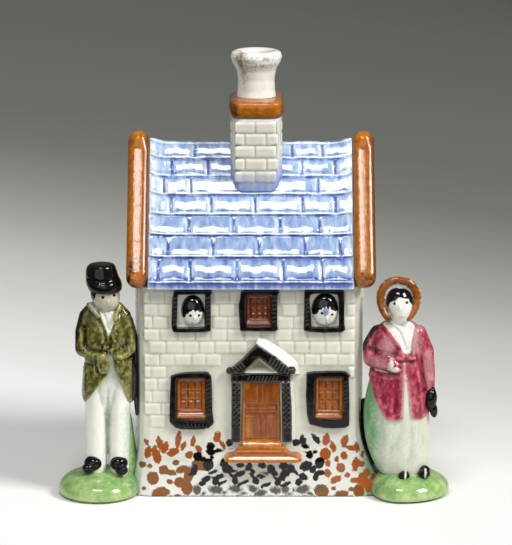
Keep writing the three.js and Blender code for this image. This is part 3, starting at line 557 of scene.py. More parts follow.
# %% Copper green, olive and rose
grass_green = glaze("copper green on grass", "#b4c78a", "#87aa64", "#4b8a5c", cloud=3.4,
                    # Darker teal where the mounds meet the wall and under her hem: pooled glaze,
                    # deepened as painted shade.
                    cloud_share=0.75, pool_gain=1.4, zones=[("pooled_green_and_shade", "#2f6f4e", 2.2, 1.2)])
# On the coat, near black is partly painted shade, by the wall.
olive = glaze("olive on the coat", "#9a9554", "#575722", "#17170a", cloud=1.5, cloud_share=0.85,
              pool_gain=4.2, zones=[("pale", "#c6cabe", 0.5, 0.3), ("dark", "#120d0a", 0.6, 0.4)])
rose = glaze("rose on the jacket", "#ca7079", "#942c43", "#521320", cloud=1.7, cloud_share=0.85,
             pool_gain=3.0, drawn=(1, 1, 0.6),
             # On the jacket, pale rose is painted highlight, pale is hand and painted highlight,
             # and near black is partly painted shade.
             zones=[("painted_rose_highlight", "#d8a9a9", 1.6, 0.6), ("dark", "#0f0809", 0.5, 0.3),
                    ("pale", "#e6dcd4", 0.30, 0.25)])
print("materials:", len(bpy.data.materials))

# %% [markdown]
# A finished piece is shaded smooth, takes its material, rides on the one body and stands for its
# node.

# %% Present a finished piece
made = []


def present(piece, node, material, pool_steps=6, painted_tone=0.0):
    only(piece)
    bpy.ops.object.shade_smooth()
    piece.name = node + "_glazed"
    piece.data.name = piece.name
    store_pool(piece, pool_steps, painted_tone)
    piece.data.materials.clear()
    piece.data.materials.append(material)
    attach(piece, "root")
    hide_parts(node)
    made.append(piece)
    print(node, len(piece.data.polygons))
    return piece


# %% [markdown]
# ## The walls
# A mould gives the walls their stones: soft cushions about 4.3 mm long in rows of 3.9 mm. One
# stone is modelled, then copied along each row with a little change in length, as the mould
# cutter's hand gave it, and the rows are fused to the wall.

# %% One stone
stone_length = 4.75
row_height = 3.86
joint = 0.55
stone_master = block(
    (-stone_length / 2, -0.27, 0), (stone_length / 2, 0.27, row_height - joint), rounding=0.25,
    steps=2,
)
stone_master.data.transform(Matrix.Translation(-at(0, 0, 0)))
hand = np.random.default_rng(1820)


# %% A stone laid on a face: where it starts, along which way, and at what height
def lay_stone(start, way, z, length, master):
    turn = math.atan2(way[1], way[0])
    middle = at(start[0] + way[0] * length / 2, start[1] + way[1] * length / 2, z)
    size = Matrix.Diagonal((length / stone_length, 1, hand.uniform(0.94, 1.0), 1))
    lean = Matrix.Rotation(hand.uniform(-0.02, 0.02), 4, "Y")
    return copy_of(master, Matrix.Translation(middle) @ Matrix.Rotation(turn, 4, "Z") @ lean @ size)


def stone_rows(start, end, first_z, top_z, plain):
    reach = math.hypot(end[0] - start[0], end[1] - start[1])
    way = ((end[0] - start[0]) / reach, (end[1] - start[1]) / reach)
    stones = []
    rows = int((top_z - first_z) / row_height)
    for row in range(rows):
        z = first_z + row * row_height
        along = -hand.uniform(0, 0.5) if row % 2 else -stone_length / 2
        while along < reach - 1.0:
            length = hand.uniform(4.3, 5.4)
            low, high = max(along, 0.1), min(along + length - joint, reach - 0.1)
            if high - low > 1.6:
                middle = (low + high) / 2
                x, y = start[0] + way[0] * middle, start[1] + way[1] * middle
                if not plain(x, y, z + row_height / 2):
                    spot = (start[0] + way[0] * low, start[1] + way[1] * low)
                    stones.append(lay_stone(spot, way, z, high - low, stone_master))
            along += length
    return stones


# %% Where the front has no stones: at its windows, its doorway and the smooth strips beside them
upper_windows = {"upper_left": -17.5, "upper_middle": 2.9, "upper_right": 22.3}
lower_windows = {"lower_left": -17.7, "lower_right": 23.8}
upper_z, upper_width, upper_height = 57.4, 12.2, 12.6
lower_z, lower_width, lower_height = 29.7, 13.6, 18.2
door_x = 3.5


def plain_front(x, y, z):
    for middle in upper_windows.values():
        if abs(x - middle) < upper_width / 2 - 0.6 and abs(z - upper_z) < upper_height / 2 + 0.5:
            return True
    for middle in lower_windows.values():
        if abs(x - middle) < lower_width / 2 - 0.6 and abs(z - lower_z) < lower_height / 2 + 0.5:
            return True
    if x > 29 and z < 38:
        return True
    doorway = abs(x - door_x) < 14.0 and z < 39
    gable = abs(x - door_x) < 14.5 - (z - 38) and 37 < z < 52.5
    return doorway or gable


def plain_nowhere(x, y, z):
    return False


# %% [markdown]
# The front wall starts from its node's own shape, sunk pockets and spreading foot included. The
# flower bed is painted on afterwards: rust dabs at the sides, a black sponge pattern under the
# step that runs out to grey.

# %% Front wall
first_row = 21.2
front_rows = stone_rows((-32.0, -25.0), (32.0, -25.0), first_row, 64.4, plain_front)
front_wall = fuse([clay_copy("front_wall")] + front_rows, 0.34, 4)
print("front stones:", len(front_rows))


# %% The right corner's foot runs out in a wider curve, to where her mound is luted to it
def spread_corner(piece):
    for corner in piece.data.vertices:
        x, y, z = (corner.co - at(0, 0, 0)) / mm
        if x > 28 and y < -8 and z < 24:
            reach = min(6.8 * ((24 - z) / 24) ** 2, 3.9)
            corner.co.x += reach * mm * min(1, (x - 28) / 5.5) * min(1, (-8 - y) / 10)


spread_corner(front_wall)

# %% Rust dabs of the flower bed: middle x and z, half-sizes, lean in degrees
rust_dabs = [
    (-30.9, 13.2, 1.0, 1.7, -15), (-28.4, 12.4, 1.2, 2.6, 18), (-27.3, 15.8, 0.9, 2.1, 12),
    (-25.7, 14.6, 1.0, 1.7, -20), (-21.7, 16.8, 0.8, 2.5, -8), (-23.3, 13.2, 1.6, 1.1, 20),
    (-20.0, 15.2, 0.6, 1.4, -25), (-17.2, 16.4, 0.7, 1.6, -10), (-15.4, 13.9, 0.8, 1.3, 25),
    (-9.8, 17.9, 1.0, 1.6, -12), (-8.2, 15.5, 0.6, 1.4, 30), (-32.6, 9.2, 1.1, 1.0, 0),
    (-22.4, 10.0, 1.0, 0.8, 0), (-18.3, 12.3, 1.2, 1.0, 10), (-15.3, 9.4, 2.3, 1.8, -15),
    (-26.1, 7.8, 1.5, 1.4, 20), (-24.0, 7.1, 1.6, 0.9, -15), (-29.4, 5.4, 1.8, 1.9, 10),
    (-20.5, 8.0, 2.0, 1.1, 15), (-18.4, 6.4, 1.5, 2.5, -12), (-21.2, 4.2, 1.6, 1.5, 0),
    (-32.3, 2.3, 0.7, 0.5, 0), (-27.0, 1.3, 2.7, 1.5, 5), (-22.0, 0.3, 1.0, 0.6, 0),
    (-19.0, 2.6, 1.7, 2.0, 10), (23.4, 17.1, 1.0, 1.8, -12), (25.4, 14.8, 0.8, 1.5, 20),
    (23.1, 12.6, 1.5, 1.7, -10), (23.9, 9.8, 0.7, 1.1, 0), (29.0, 16.6, 1.0, 1.8, -15),
    (30.8, 14.4, 1.2, 0.7, -20), (32.7, 14.5, 0.7, 1.5, 10), (28.8, 12.3, 1.0, 1.2, 0),
    (34.5, 12.1, 0.5, 0.8, 0), (21.5, 10.0, 1.3, 1.4, 15), (32.3, 9.4, 1.0, 2.0, -10),
    (27.8, 8.5, 1.2, 1.3, 20), (23.9, 6.9, 1.0, 1.2, 0), (26.3, 5.0, 1.8, 0.9, 25),
    (29.8, 6.4, 0.8, 0.7, 0), (31.9, 4.8, 1.0, 0.8, 0), (34.6, 4.8, 1.5, 2.1, 10),
    (22.0, 1.7, 2.2, 1.8, -10), (28.0, 0.8, 2.0, 1.1, 8), (33.3, 1.7, 1.7, 1.8, 15),
    (36.4, 3.0, 1.2, 1.7, 0), (35.8, 6.8, 0.9, 1.1, 20), (37.6, 5.2, 0.8, 1.2, -10),
    (37.9, 1.4, 1.0, 0.9, 0), (34.2, 9.4, 0.8, 1.0, 10), (31.0, 2.2, 0.9, 0.7, 0),
    (25.6, 2.4, 0.8, 0.6, 10), (26.6, 11.0, 0.7, 0.9, 0), (-31.4, 16.2, 0.7, 1.0, 15),
    (-24.4, 4.4, 0.9, 0.7, 0), (-30.4, 9.0, 0.8, 0.7, 0),
]


# %% Black dabs of the sponged pattern: it repeats five times under the step and thins out above
ink_dabs = [
    (-2.8, 9.2, 1.0, 0.6, 10), (-0.2, 8.8, 0.8, 1.1, -20), (1.0, 7.4, 0.9, 0.5, -25),
    (-3.0, 6.6, 1.5, 0.7, 20), (-4.3, 4.7, 0.7, 0.9, 10), (3.8, 9.2, 1.1, 0.7, 0),
    (6.6, 8.2, 1.0, 1.1, 10), (3.4, 6.0, 1.1, 0.5, -10), (7.5, 6.8, 1.0, 0.7, -30),
    (1.9, 4.6, 0.8, 0.9, 0), (10.5, 9.1, 1.3, 0.9, 0), (12.7, 8.2, 1.0, 1.1, -15),
    (14.2, 7.0, 0.8, 0.5, -30), (10.9, 6.8, 1.1, 0.9, 15), (9.9, 5.5, 0.9, 0.8, 0),
    (8.6, 4.2, 0.8, 0.9, -20), (17.3, 9.0, 1.6, 1.2, 15), (19.4, 8.0, 0.8, 0.9, -30),
    (21.4, 7.0, 1.2, 0.7, 10), (16.4, 5.8, 1.2, 0.8, -20), (20.1, 5.5, 0.7, 0.9, 0),
    (15.0, 4.2, 0.9, 0.8, 20), (-7.8, 9.7, 1.0, 1.1, -10), (-6.7, 8.1, 1.5, 1.1, -20),
    (-5.0, 7.5, 0.9, 0.4, 10), (-9.0, 5.9, 1.2, 0.6, 15), (-10.3, 4.4, 0.9, 0.9, 20),
    (-12.5, 9.4, 1.3, 1.6, 0), (-11.1, 7.2, 1.0, 0.5, 20), (-13.2, 5.2, 1.2, 0.7, 15),
    (-14.4, 3.9, 1.0, 0.7, 10), (-16.7, 7.9, 0.9, 1.3, 0), (-17.8, 6.6, 0.7, 0.3, 30),
    (-15.8, 11.8, 1.2, 1.1, -20), (-14.4, 11.1, 0.8, 0.6, 0), (-11.8, 14.9, 1.0, 1.1, 0),
    (-11.8, 13.2, 1.1, 0.8, -10), (-9.6, 13.6, 1.2, 0.5, 5), (-6.1, 16.1, 0.9, 0.9, 0),
    (-6.7, 12.3, 0.9, 0.5, 40), (-5.8, 14.0, 0.5, 0.2, 0), (-11.6, 11.6, 0.8, 0.3, -20),
    (-7.8, 10.8, 0.6, 0.5, 0), (14.2, 16.1, 0.9, 0.9, -20), (16.3, 16.6, 0.9, 1.1, 0),
    (17.0, 15.0, 1.0, 0.6, -20), (16.0, 18.1, 0.4, 0.5, 0), (20.4, 17.1, 1.5, 0.7, -48),
    (19.4, 18.5, 0.6, 0.3, -20), (18.3, 12.4, 0.9, 1.0, 10), (20.0, 13.3, 0.7, 0.5, 0),
    (17.5, 13.1, 0.7, 0.3, -10), (21.4, 9.9, 1.2, 1.4, 0),
]
ink_commas = [
    ((-9.4, 3.5), (-7.2, 4.6)), ((-3.2, 3.5), (-0.5, 4.6)), ((3.7, 2.9), (6.2, 3.9)),
    ((9.7, 3.1), (12.2, 4.1)), ((-6.3, 7.1), (-4.6, 5.5)), ((0.3, 6.8), (1.8, 5.1)),
    ((7.6, 5.8), (8.9, 4.7)), ((-10.9, 5.5), (-9.9, 4.7)),
]

# %% Grey dabs, where the sponge ran dry along the foot
ash_dabs = [
    (-4.3, 2.3, 1.9, 1.0, -8), (-1.8, 0.9, 0.9, 0.4, 10), (1.2, 2.3, 1.4, 0.9, -15),
    (3.4, 1.2, 1.8, 0.9, 12), (4.8, 6.8, 1.4, 0.5, 10), (8.0, 1.9, 1.6, 0.9, -10),
    (10.8, 2.1, 1.2, 1.1, 10), (12.1, 0.7, 0.9, 0.4, 0), (16.3, 2.1, 2.1, 1.1, 5),
    (18.3, 1.0, 1.1, 0.5, -15), (13.5, 2.1, 0.4, 0.5, 0), (-10.3, 2.1, 1.9, 1.1, -5),
    (-7.6, 1.2, 0.6, 0.4, 0), (-16.0, 2.0, 1.2, 1.3, 0), (-13.8, 1.0, 0.6, 0.5, 0),
    (21.4, 2.6, 1.0, 0.8, 10), (-12.7, -0.4, 1.0, 0.4, 0), (-6.1, -0.3, 0.9, 0.3, 0),
    (0.0, -0.4, 0.9, 0.3, 0), (7.4, -0.4, 0.6, 0.3, 0), (14.2, -0.4, 0.9, 0.3, 0),
]

# %% Where each colour of the bed lies
x, y, z = corners(front_wall).T
on_front = np.where(y < -20, 0.0, elsewhere)


def dabs(marks, grow=1.0):
    ovals = [oval(x, z, (u, v), (a * grow, b * grow), lean) for u, v, a, b, lean in marks]
    return nearest(*ovals) + on_front


low_dabs = [mark for mark in rust_dabs if mark[1] < 10.5 and (mark[0] < 0 or mark[1] < 2.5)]
high_dabs = [mark for mark in rust_dabs if mark not in low_dabs]
commas = nearest(*[line(x, z, start, end, 0.55) for start, end in ink_commas]) + on_front
store(front_wall, "rust", dabs(high_dabs, 1.12))
store(front_wall, "umber", dabs(low_dabs, 1.04))
store(front_wall, "ink", nearest(dabs(ink_dabs, 1.26), commas - 0.2))
front_line = front_face - 4.0 * (np.maximum(21 - z, 0) / 21) ** 2.2
# Painted shade: the side of the right corner, in the gap behind her gown, is painted dark grey. A
# thin dark line is painted along the front's bottom edge.
gap_side = np.where(x > 30, front_line + 2.4 - y + np.maximum(0, z - 25), elsewhere)
foot_line = z - 0.3 + on_front
store(front_wall, "grey_dabs_and_shade", nearest(dabs(ash_dabs, 1.12), gap_side, foot_line))
# Painted light: paler below the stones, where the flaring foot takes the light.
store(front_wall, "foot", z - 16.0 + on_front)
left_lawn = oval(x, z, (-39.5, 4.0), (5.0, 17.0))
right_lawn = oval(x, z, (39.5, 4.0), (5.5, 18.0))
store(front_wall, "grass_wash", nearest(left_lawn, right_lawn))
present(front_wall, "front_wall", pearl_wall)

# %% [markdown]
# The back and the gable ends carry the same stones. Nothing of them is seen in the photograph, so
# they stay plain, with only the green of the mounds on their lower front corners, and a grey shade
# on the right gable behind the skirt.

# %% Back wall
back_rows = stone_rows((32.0, 25.0), (-32.0, 25.0), first_row, 64.4, plain_nowhere)
back_wall = fuse([clay_copy("back_wall")] + back_rows, 0.42, 3)
leave_bare(back_wall, "foot", "rust", "umber", "ink", "grey_dabs_and_shade", "grass_wash")
present(back_wall, "back_wall", pearl_wall)


# %% Gable walls: stones rise under the roof, on the two halves of a side that bows out a little
def plain_side(x, y, z):
    return z > 62.0 + 33.6 * (1 - abs(y) / 21)


def gable_wall(side, node):
    front_half = ((side * 33.95, -20.8), (side * 35.2, -0.2))
    back_half = ((side * 35.2, 0.2), (side * 33.95, 20.8))
    rows = []
    for start, end in (front_half, back_half):
        if side > 0:
            rows += stone_rows(start, end, first_row, 97.0, plain_side)
        else:
            rows += stone_rows(end, start, first_row, 97.0, plain_side)
    lump = clay_copy(node)
    lump.data.transform(stretched(at(0, 0, 0), (1, 1.016, 1)))
    wall = fuse([lump] + rows, 0.40, 5)
    if side > 0:
        spread_corner(wall)
    x, y, z = corners(wall).T
    spot, half = ((-23.0, 9.0), (13.0, 14.0)) if side > 0 else ((-24.0, 5.0), (13.0, 12.0))
    store(wall, "grass_wash", oval(y, z, spot, half))
    # Painted shade: the right gable's front corner is painted dark grey, in the gap behind her
    # gown.
    store(wall, "grey_dabs_and_shade", oval(y, z, (-24.0, 12.0), (4.0, 14.0)) + (0.0 if side > 0 else elsewhere))
    leave_bare(wall, "foot", "rust", "umber", "ink")
    return present(wall, node, pearl_wall)


gable_wall(-1, "left_gable_wall")
gable_wall(1, "right_gable_wall")
discard(stone_master)

# %% Floor slab
floor_slab = fuse([clay_copy("floor_slab")], 0.6, 2)
present(floor_slab, "floor_slab", pearl_plain)

# %% [markdown]
# ## The roof
# Each slate rises from under the course above, runs flat, and ends in a thin lip. The flat part
# shows the soft box as a bright bar, and its place on the slate wanders from course to course. The
# courses grow from the ridge to the eaves. On the front the joints stand where the mould has them,
# on the back the courses are laid half and half.

# %% Places on the front slope: along from the ridge, lift square to it
eaves_reach = 27.8
rise = 38.2
slope = math.atan2(rise, eaves_reach)
slope_length = math.hypot(eaves_reach, rise)


def on_slope(along, lift):
    return (
        -(along * math.cos(slope) + lift * math.sin(slope)),
        ridge - along * math.sin(slope) + lift * math.cos(slope),
    )


roof_ends = (-30.5, 31.5)
course_ends = [5.9, 11.9, 18.0, 24.7, 31.5, 38.8, slope_length]
front_joints = [
    [-16.6, 13.0, 22.2], [-23.6, -12.6, 16.0, 26.1], [-26.0, -17.8, 20.9],
    [-23.8, -11.6, 1.7, 16.2, 26.0], [-18.3, -4.7, 9.3, 21.3], [-24.5, -11.0, 2.9, 16.8, 27.3],
    [-27.4, -17.8, -3.7, 10.1, 21.8],
]
back_joints = [
    [roof_ends[0] + 13.5 * (i + (0.5 if row % 2 else 1)) for i in range(5 if row % 2 else 4)]
    for row in range(7)
]


# %% Where each course is flat, as a share of its height
course_flats = [(0.42, 0.80), (0.30, 0.68), (0.26, 0.84), (0.34, 0.80), (0.62, 0.93), (0.70, 0.95),
                (0.34, 0.64)]


# %% One slate
def slate(x0, x1, start, end, row):
    bpy.ops.mesh.primitive_cube_add(size=1, location=(0, 0, 0), scale=(x1 - x0, end - start, 1.6))
    tile = settle()
    edit_all()
    bpy.ops.mesh.subdivide(number_cuts=11)
    leave_edit()
    across, down = Vector((1, 0, 0)), Vector((0, -math.cos(slope), -math.sin(slope)))
    up = Vector((0, -math.sin(slope), math.cos(slope)))
    origin = at(0, 0, ridge)
    flat_start, flat_end = course_flats[row]
    tilt = hand.uniform(-0.05, 0.05)
    for corner in tile.data.vertices:
        u, v, w = corner.co
        share = v / (end - start) + 0.5
        x = (x0 + x1) / 2 + u
        wander = 0.05 * math.sin(x * 0.9 + row * 2.1) + 0.03 * math.sin(x * 2.3 + row)
        edge = float(smooth((0.5 * (x1 - x0) - abs(u)) / 1.2))
        lift = -0.42 + 0.66 * min(1.0, share / (flat_start + wander))
        lift -= 0.20 * float(smooth((share - flat_end - wander) / 0.14))
        lift += (
            0.26 * float(smooth((share - 0.93) / 0.05)) - 0.32 * (1 - edge)
            + tilt * u / (x1 - x0)
        )
        if w < 0.79:
            lift = -1.4 if w < -0.79 else min(lift, -0.3) - (0.8 - w) * 0.6
        along = start + share * (end - start)
        corner.co = origin + x * mm * across + along * mm * down + lift * mm * up
    return tile


# %% A slope: the slab and its slates
def slope_lump(joints_by_course):
    slab = prism(
        [(0, ridge - 0.75), on_slope(slope_length, -0.45), (-28.3, wall_top), (-21, wall_top),
         (0, ridge - 6.8)],
        *roof_ends, across="x",
    )
    tiles = [slab]
    start = 0.0
    for row, (joints, end) in enumerate(zip(joints_by_course, course_ends)):
        edges = [roof_ends[0]] + joints + [roof_ends[1]]
        for x0, x1 in zip(edges, edges[1:]):
            tiles.append(slate(x0 + 0.27, x1 - 0.27, start + 0.1, end + 0.15, row))
        start = end
    return tiles


# %% [markdown]
# The brush went down each slope in long strokes. It left dark lines in the upright joints and a
# pale margin beside the rolls. The violet under every lip and just above it is pooled cobalt
# deepened as painted shade; the lips themselves, with hardly any colour, are thin glaze and painted
# highlight.

# %% Where more blue is painted, and where less: brush strokes, painted shade and painted highlight
def painted_blue_tone(piece, joints_by_course):
    x, y, z = corners(piece).T.astype(np.float64)
    along = np.abs(y) * math.cos(slope) + (ridge - z) * math.sin(slope)
    tone = np.zeros(len(x))
    start = 0.0
    for row, (joints, end) in enumerate(zip(joints_by_course, course_ends)):
        share = (along - start) / (end - start)
        here = (share >= 0) & (share < 1)
        uneven = 0.75 + 0.35 * np.sin(x * 0.55 + row * 1.9) + 0.2 * np.sin(x * 1.7 + row)
        # Painted shade: more violet under the lip above, and just above this slate's own lip.
        blue = 0.06 * uneven * (1 - smooth(share / 0.25))
        blue += 0.06 * uneven * smooth((share - 0.74) / 0.14) * (1 - smooth((share - 0.90) / 0.05))
        # Painted highlight: the lip is left almost bare.
        blue -= 0.20 * smooth((share - 0.93) / 0.04)
        gap = nearest(*[np.abs(x - joint) for joint in joints])
        upright = smooth((share - 0.12) / 0.1) * (1 - smooth((share - 0.86) / 0.08))
        blue += 0.13 * uneven * upright * (1 - smooth((gap - 0.12) / 0.3))
        blue -= 0.07 * upright * smooth((gap - 0.5) / 0.2) * (1 - smooth((gap - 0.9) / 0.3))
        tone = np.where(here, blue, tone)
        start = end
    margin = smooth((x - roof_ends[0] - 0.8) / 5.5) * smooth((roof_ends[1] - 0.6 - x) / 3.5)
    tone = tone * (0.25 + 0.75 * margin) - 0.055 * (1 - margin)
    eaves_streaks = 0.5 + 0.3 * np.sin(x * 2.6) + 0.3 * np.sin(x * 5.1 + 1)
    tone += 0.035 * smooth((along - 22) / 16)
    eaves_blue = 0.13 * (0.6 + 0.4 * eaves_streaks) * smooth((along - 45.2) / 1.0)
    return tone + eaves_blue + 0.07 * (1 - smooth(along / 2.2))


# %% The ridge rises a little where it runs up to each roll
def saddle(piece):
    for corner in piece.data.vertices:
        x = corner.co.x / mm - at(0, 0, 0).x / mm
        y = abs(corner.co.y / mm - at(0, 0, 0).y / mm)
        near_roll = max(0.0, 1 - min(x - roof_ends[0], roof_ends[1] - x) / 7)
        corner.co.z += 1.5 * mm * near_roll**2 * max(0.0, 1 - y / 30)


# %% Front slope
front_slope = fuse(slope_lump(front_joints), 0.325, 2)
saddle(front_slope)
present(front_slope, "front_roof_slope", slate_blue, 7, painted_blue_tone(front_slope, front_joints))

# %% [markdown]
# The back slope is made the same way and turned round in its mesh. The coin slot is cut level
# through it, and the cut is made before the last fusing, so the slot's lips are rounded as well.

# %% Back slope with its coin slot
back_lumps = slope_lump(back_joints)
only(*back_lumps)
bpy.ops.object.join()
back_slope = bpy.context.object
back_slope.data.transform(stretched(at(0, 0, 0), (1, -1, 1)))
edit_all()
bpy.ops.mesh.normals_make_consistent(inside=False)
leave_edit()
back_slope = fuse([back_slope], 0.36, 2)
slot_cutter = block((-19.0, 0.5, 79.6), (19.0, 40, 84.4), rounding=0.9, steps=3)
back_slope = carve(back_slope, slot_cutter)
back_slope = fuse([back_slope], 0.36, 1)
saddle(back_slope)
present(back_slope, "back_roof_slope", slate_blue, 7, painted_blue_tone(back_slope, back_joints))

# %% [markdown]
# The rolls that close the gable ends were rolled out by hand and laid over both slopes, so each is
# a round sausage that bends over the ridge, bedded on its node's shape made a little slimmer.

# %% Barge rolls
roll_radius = 3.3
roll_lift = 2.2 - roll_radius
roll_end = slope_length + 1.2


def roll_path(x):
    eaves = on_slope(roll_end - roll_radius, roll_lift)
    shoulder = on_slope(3.2, roll_lift)
    spots = [(x, *eaves), (x, *shoulder), (x, 0.0, ridge + 2.8 - roll_radius)]
    return spots + [(x, -y, z) for x, y, z in reversed(spots[:-1])]


for node, x0, x1 in (("left_barge_roll", -37.1, -30.5), ("right_barge_roll", 31.5, 38.1)):
    middle = (x0 + x1) / 2
    bed = clay_copy(node)
    bed = carve(bed, block((x0 - 1, -40, 50), (x1 + 1, 40, 68.4)))
    bed.data.transform(
        Matrix.Translation(at(middle, 0, -0.8)) @ Matrix.Diagonal((0.86, 1, 1, 1))
        @ Matrix.Translation(-at(middle, 0, 0))
    )
    lumps = [bed]
    spots = roll_path(middle)
    for start, end in zip(spots, spots[1:]):
        lumps += limb(start, end, roll_radius + 0.12)
    roll = fuse(lumps, 0.42, 12, soft=0.6)
    place = np.array([corner.co for corner in roll.data.vertices]) / mm - np.array(at(0, 0, 0)) / mm
    offset, y, z = place[:, 0] - middle, place[:, 1], place[:, 2]
    along = np.abs(y) * math.cos(slope) + (ridge - z) * math.sin(slope)
    lift = np.abs(y) * math.sin(slope) - (ridge - z) * math.cos(slope) - roll_lift
    share = np.minimum(np.abs(offset) / roll_radius, 0.92)
    squarer = ((1 - share**4) ** 0.25 / np.sqrt(1 - share**2) - 1) * np.maximum(lift, 0) * 0.72
    squarer *= smooth((along - 1.0) / 3.0)
    for corner, more, side in zip(roll.data.vertices, squarer, np.sign(y)):
        corner.co += Vector((0, side * math.sin(slope), math.cos(slope))) * more * mm
    x, y, z = corners(roll).T
    along = np.abs(y) * math.cos(slope) + (ridge - z) * math.sin(slope)
    store(roll, "rim", nearest(2.6 - np.abs(x - middle + 0.5), roll_end - along))
    if node == "left_barge_roll":
        scorch = nearest(line(x, z, (middle - 2.4, 66.8), (middle - 1.2, 73.2), 1.1),
                         oval(x, z, (middle - 1.2, 65.6), (1.0, 0.6)))
    else:
        scorch = nearest(oval(x, z, (middle + 0.4, 68.4), (1.6, 0.8)),
                         oval(x, z, (middle - 0.8, 70.2), (0.5, 0.9)),
                         oval(x, z, (middle + 1.6, 66.4), (0.8, 0.5)))
    store(roll, "scorch", scorch + np.where(y < 0, 0.0, elsewhere))
    present(roll, node, ochre, pool_steps=8)

# %% [markdown]
# ## The chimney
# The stack has five rows of moulded bricks on every side and is washed with the roof's blue at
# its foot, where the brush ran over. The pot is turned, so it is a profile spun about its axis.

# %% Chimney stack
chimney_x = 2.1
stack_half = (7.5, 11.0)
stack_top = 113.6
stack = clay_copy("chimney_stack")
for corner in stack.data.vertices:
    if corner.co.z < (stack_top - 1) * mm:
        corner.co.z -= 0.9 * mm
brick_rows = [(110.9, 0.0), (107.2, 3.25), (103.4, 0.1), (99.5, 3.1), (95.6, 0.0)]
bricks = []
for z, shift in brick_rows:
    for start in (-6.6 - shift, -0.1 - shift, 6.4 - shift):
        low, high = max(start, -6.6), min(start + 6.1, 6.6)
        if high - low > 1.2:
            for face in (-1, 1):
                y = face * (stack_half[1] - 0.05)
                bricks.append(block((chimney_x + low, y - 0.38, z - 1.6),
                                    (chimney_x + high, y + 0.38, z + 1.6), 0.36))
    for start in (-13.0 - shift, -7.9 - shift, -2.8 - shift, 2.3 - shift, 7.4 - shift):
        low, high = max(start, -7.8), min(start + 4.6, 7.8)
        if high - low > 1.2:
            for face in (-1, 1):
                x = chimney_x + face * (stack_half[0] - 0.05)
                bricks.append(block((x - 0.45, low, z - 1.6), (x + 0.45, high, z + 1.6), 0.4))
stack = fuse([stack] + bricks, 0.30, 3)
x, y, z = corners(stack).T
slates_level = ridge - np.abs(y) * rise / eaves_reach
wash = z - slates_level - 5.0 + 0.5 * np.sin(x * 1.3) - 0.5 * np.sin(x * 2.9)
store(stack, "blue_wash", wash)
pearl_stack = glaze("pearlware, pressed stack", *pearl_white, cloud=5.0, cloud_share=0.25,
                    pool_gain=5.0, zones=[("blue_wash", "#93a9dc", 3.4, 0.8)])
present(stack, "chimney_stack", pearl_stack)

# %% Chimney cap
cap = fuse([clay_copy("chimney_cap")], 0.34, 60)
cap.data.transform(stretched(at(chimney_x, 0, 116), (1.05, 1.04, 1.04)))
x, y, z = corners(cap).T
store(cap, "rim",
      nearest(z - 114.5 + 0.3 * np.sin(x * 2), x - chimney_x + 6.9, 7.6 - x + chimney_x))
store(cap, "scorch", oval(x, z, (chimney_x - 6.2, 115.8), (0.5, 1.6)))
present(cap, "chimney_cap", ochre)

# %% Chimney pot, spun
pot_foot = 118.6
pot_profile = [
    (0.0, 0.0), (6.1, 0.0), (5.75, 2.2), (5.6, 5.6), (6.1, 8.5), (7.4, 10.7), (7.9, 12.3),
    (7.5, 13.7), (6.2, 14.2), (4.1, 13.8), (3.9, 12.0), (3.9, 3.6), (0.0, 3.2),
]
bpy.ops.mesh.primitive_circle_add(vertices=len(pot_profile), radius=1, fill_type="NOTHING")
pot = bpy.context.object
for corner, (radius, height) in zip(pot.data.vertices, pot_profile):
    corner.co = at(chimney_x + radius, 0, pot_foot + height)
bpy.ops.object.mode_set(mode="EDIT")
bpy.ops.mesh.select_all(action="DESELECT")
leave_edit()
closing = {0, len(pot_profile) - 1}
for edge in pot.data.edges:
    edge.select = set(edge.vertices) == closing
bpy.ops.object.mode_set(mode="EDIT")
bpy.ops.mesh.select_mode(type="EDGE")
bpy.ops.mesh.delete(type="EDGE")
bpy.ops.mesh.select_mode(type="VERT")
bpy.ops.mesh.select_all(action="SELECT")
bpy.ops.mesh.spin(steps=64, angle=2 * math.pi, center=at(chimney_x, 0, pot_foot), axis=(0, 0, 1))
bpy.ops.mesh.select_all(action="SELECT")
bpy.ops.mesh.remove_doubles(threshold=0.005 * mm)
bpy.ops.mesh.normals_make_consistent(inside=False)
leave_edit()
pot = fuse([pot], 0.28, 5)
x, y, z = corners(pot).T
turn = np.degrees(np.arctan2(y, x - chimney_x))
grime = np.abs(((turn + 130 + 180) % 360) - 180) / 14 - 1.2 + np.abs(z - 130.0) / 4
grime = nearest(grime, oval(turn / 8, z, (-13.2, 130.4), (0.8, 0.5)),
                oval(turn / 8, z, (-9.6, 128.9), (1.6, 0.15)),
                oval(turn / 8, z, (-8.4, 131.2), (0.7, 0.2)))
store(pot, "grime", grime)
present(pot, "chimney_pot", pot_white)


# %% [markdown]
# ## Windows, door and step
# A frame is a flat strip of clay, cut round with a knife, its bars notched with a tool and painted
# black by hand. No bar is straight, so each frame is cut from its own wavering outline. The
# opening is carved out, notches are added as small ridges and the whole is melted to round it.

# %% A row of small ridges between two places on the front
def ridges(start, end, count, reach, thickness, depth):
    marks = []
    for i in range(count):
        share = (i + 0.5) / count
        x = start[0] + (end[0] - start[0]) * share
        z = start[1] + (end[1] - start[1]) * share
        marks += limb((x, depth, z), (x + reach[0], depth, z + reach[1]), thickness)
    return marks


# %% Frames: outer outline, opening, and rows of notches
def window_frame(node, outer, opening, notches):
    strip = prism(outer, front_face - 1.5, seat)
    strip = carve(strip, prism(opening, front_face - 4, front_face + 3))
    strips = [strip]
    for start, end, count, reach in notches:
        strips += ridges(start, end, count, reach, 0.26, front_face - 1.42)
    piece = fuse(strips, 0.17, 4)
    return present(piece, node, black_frame, pool_steps=4)


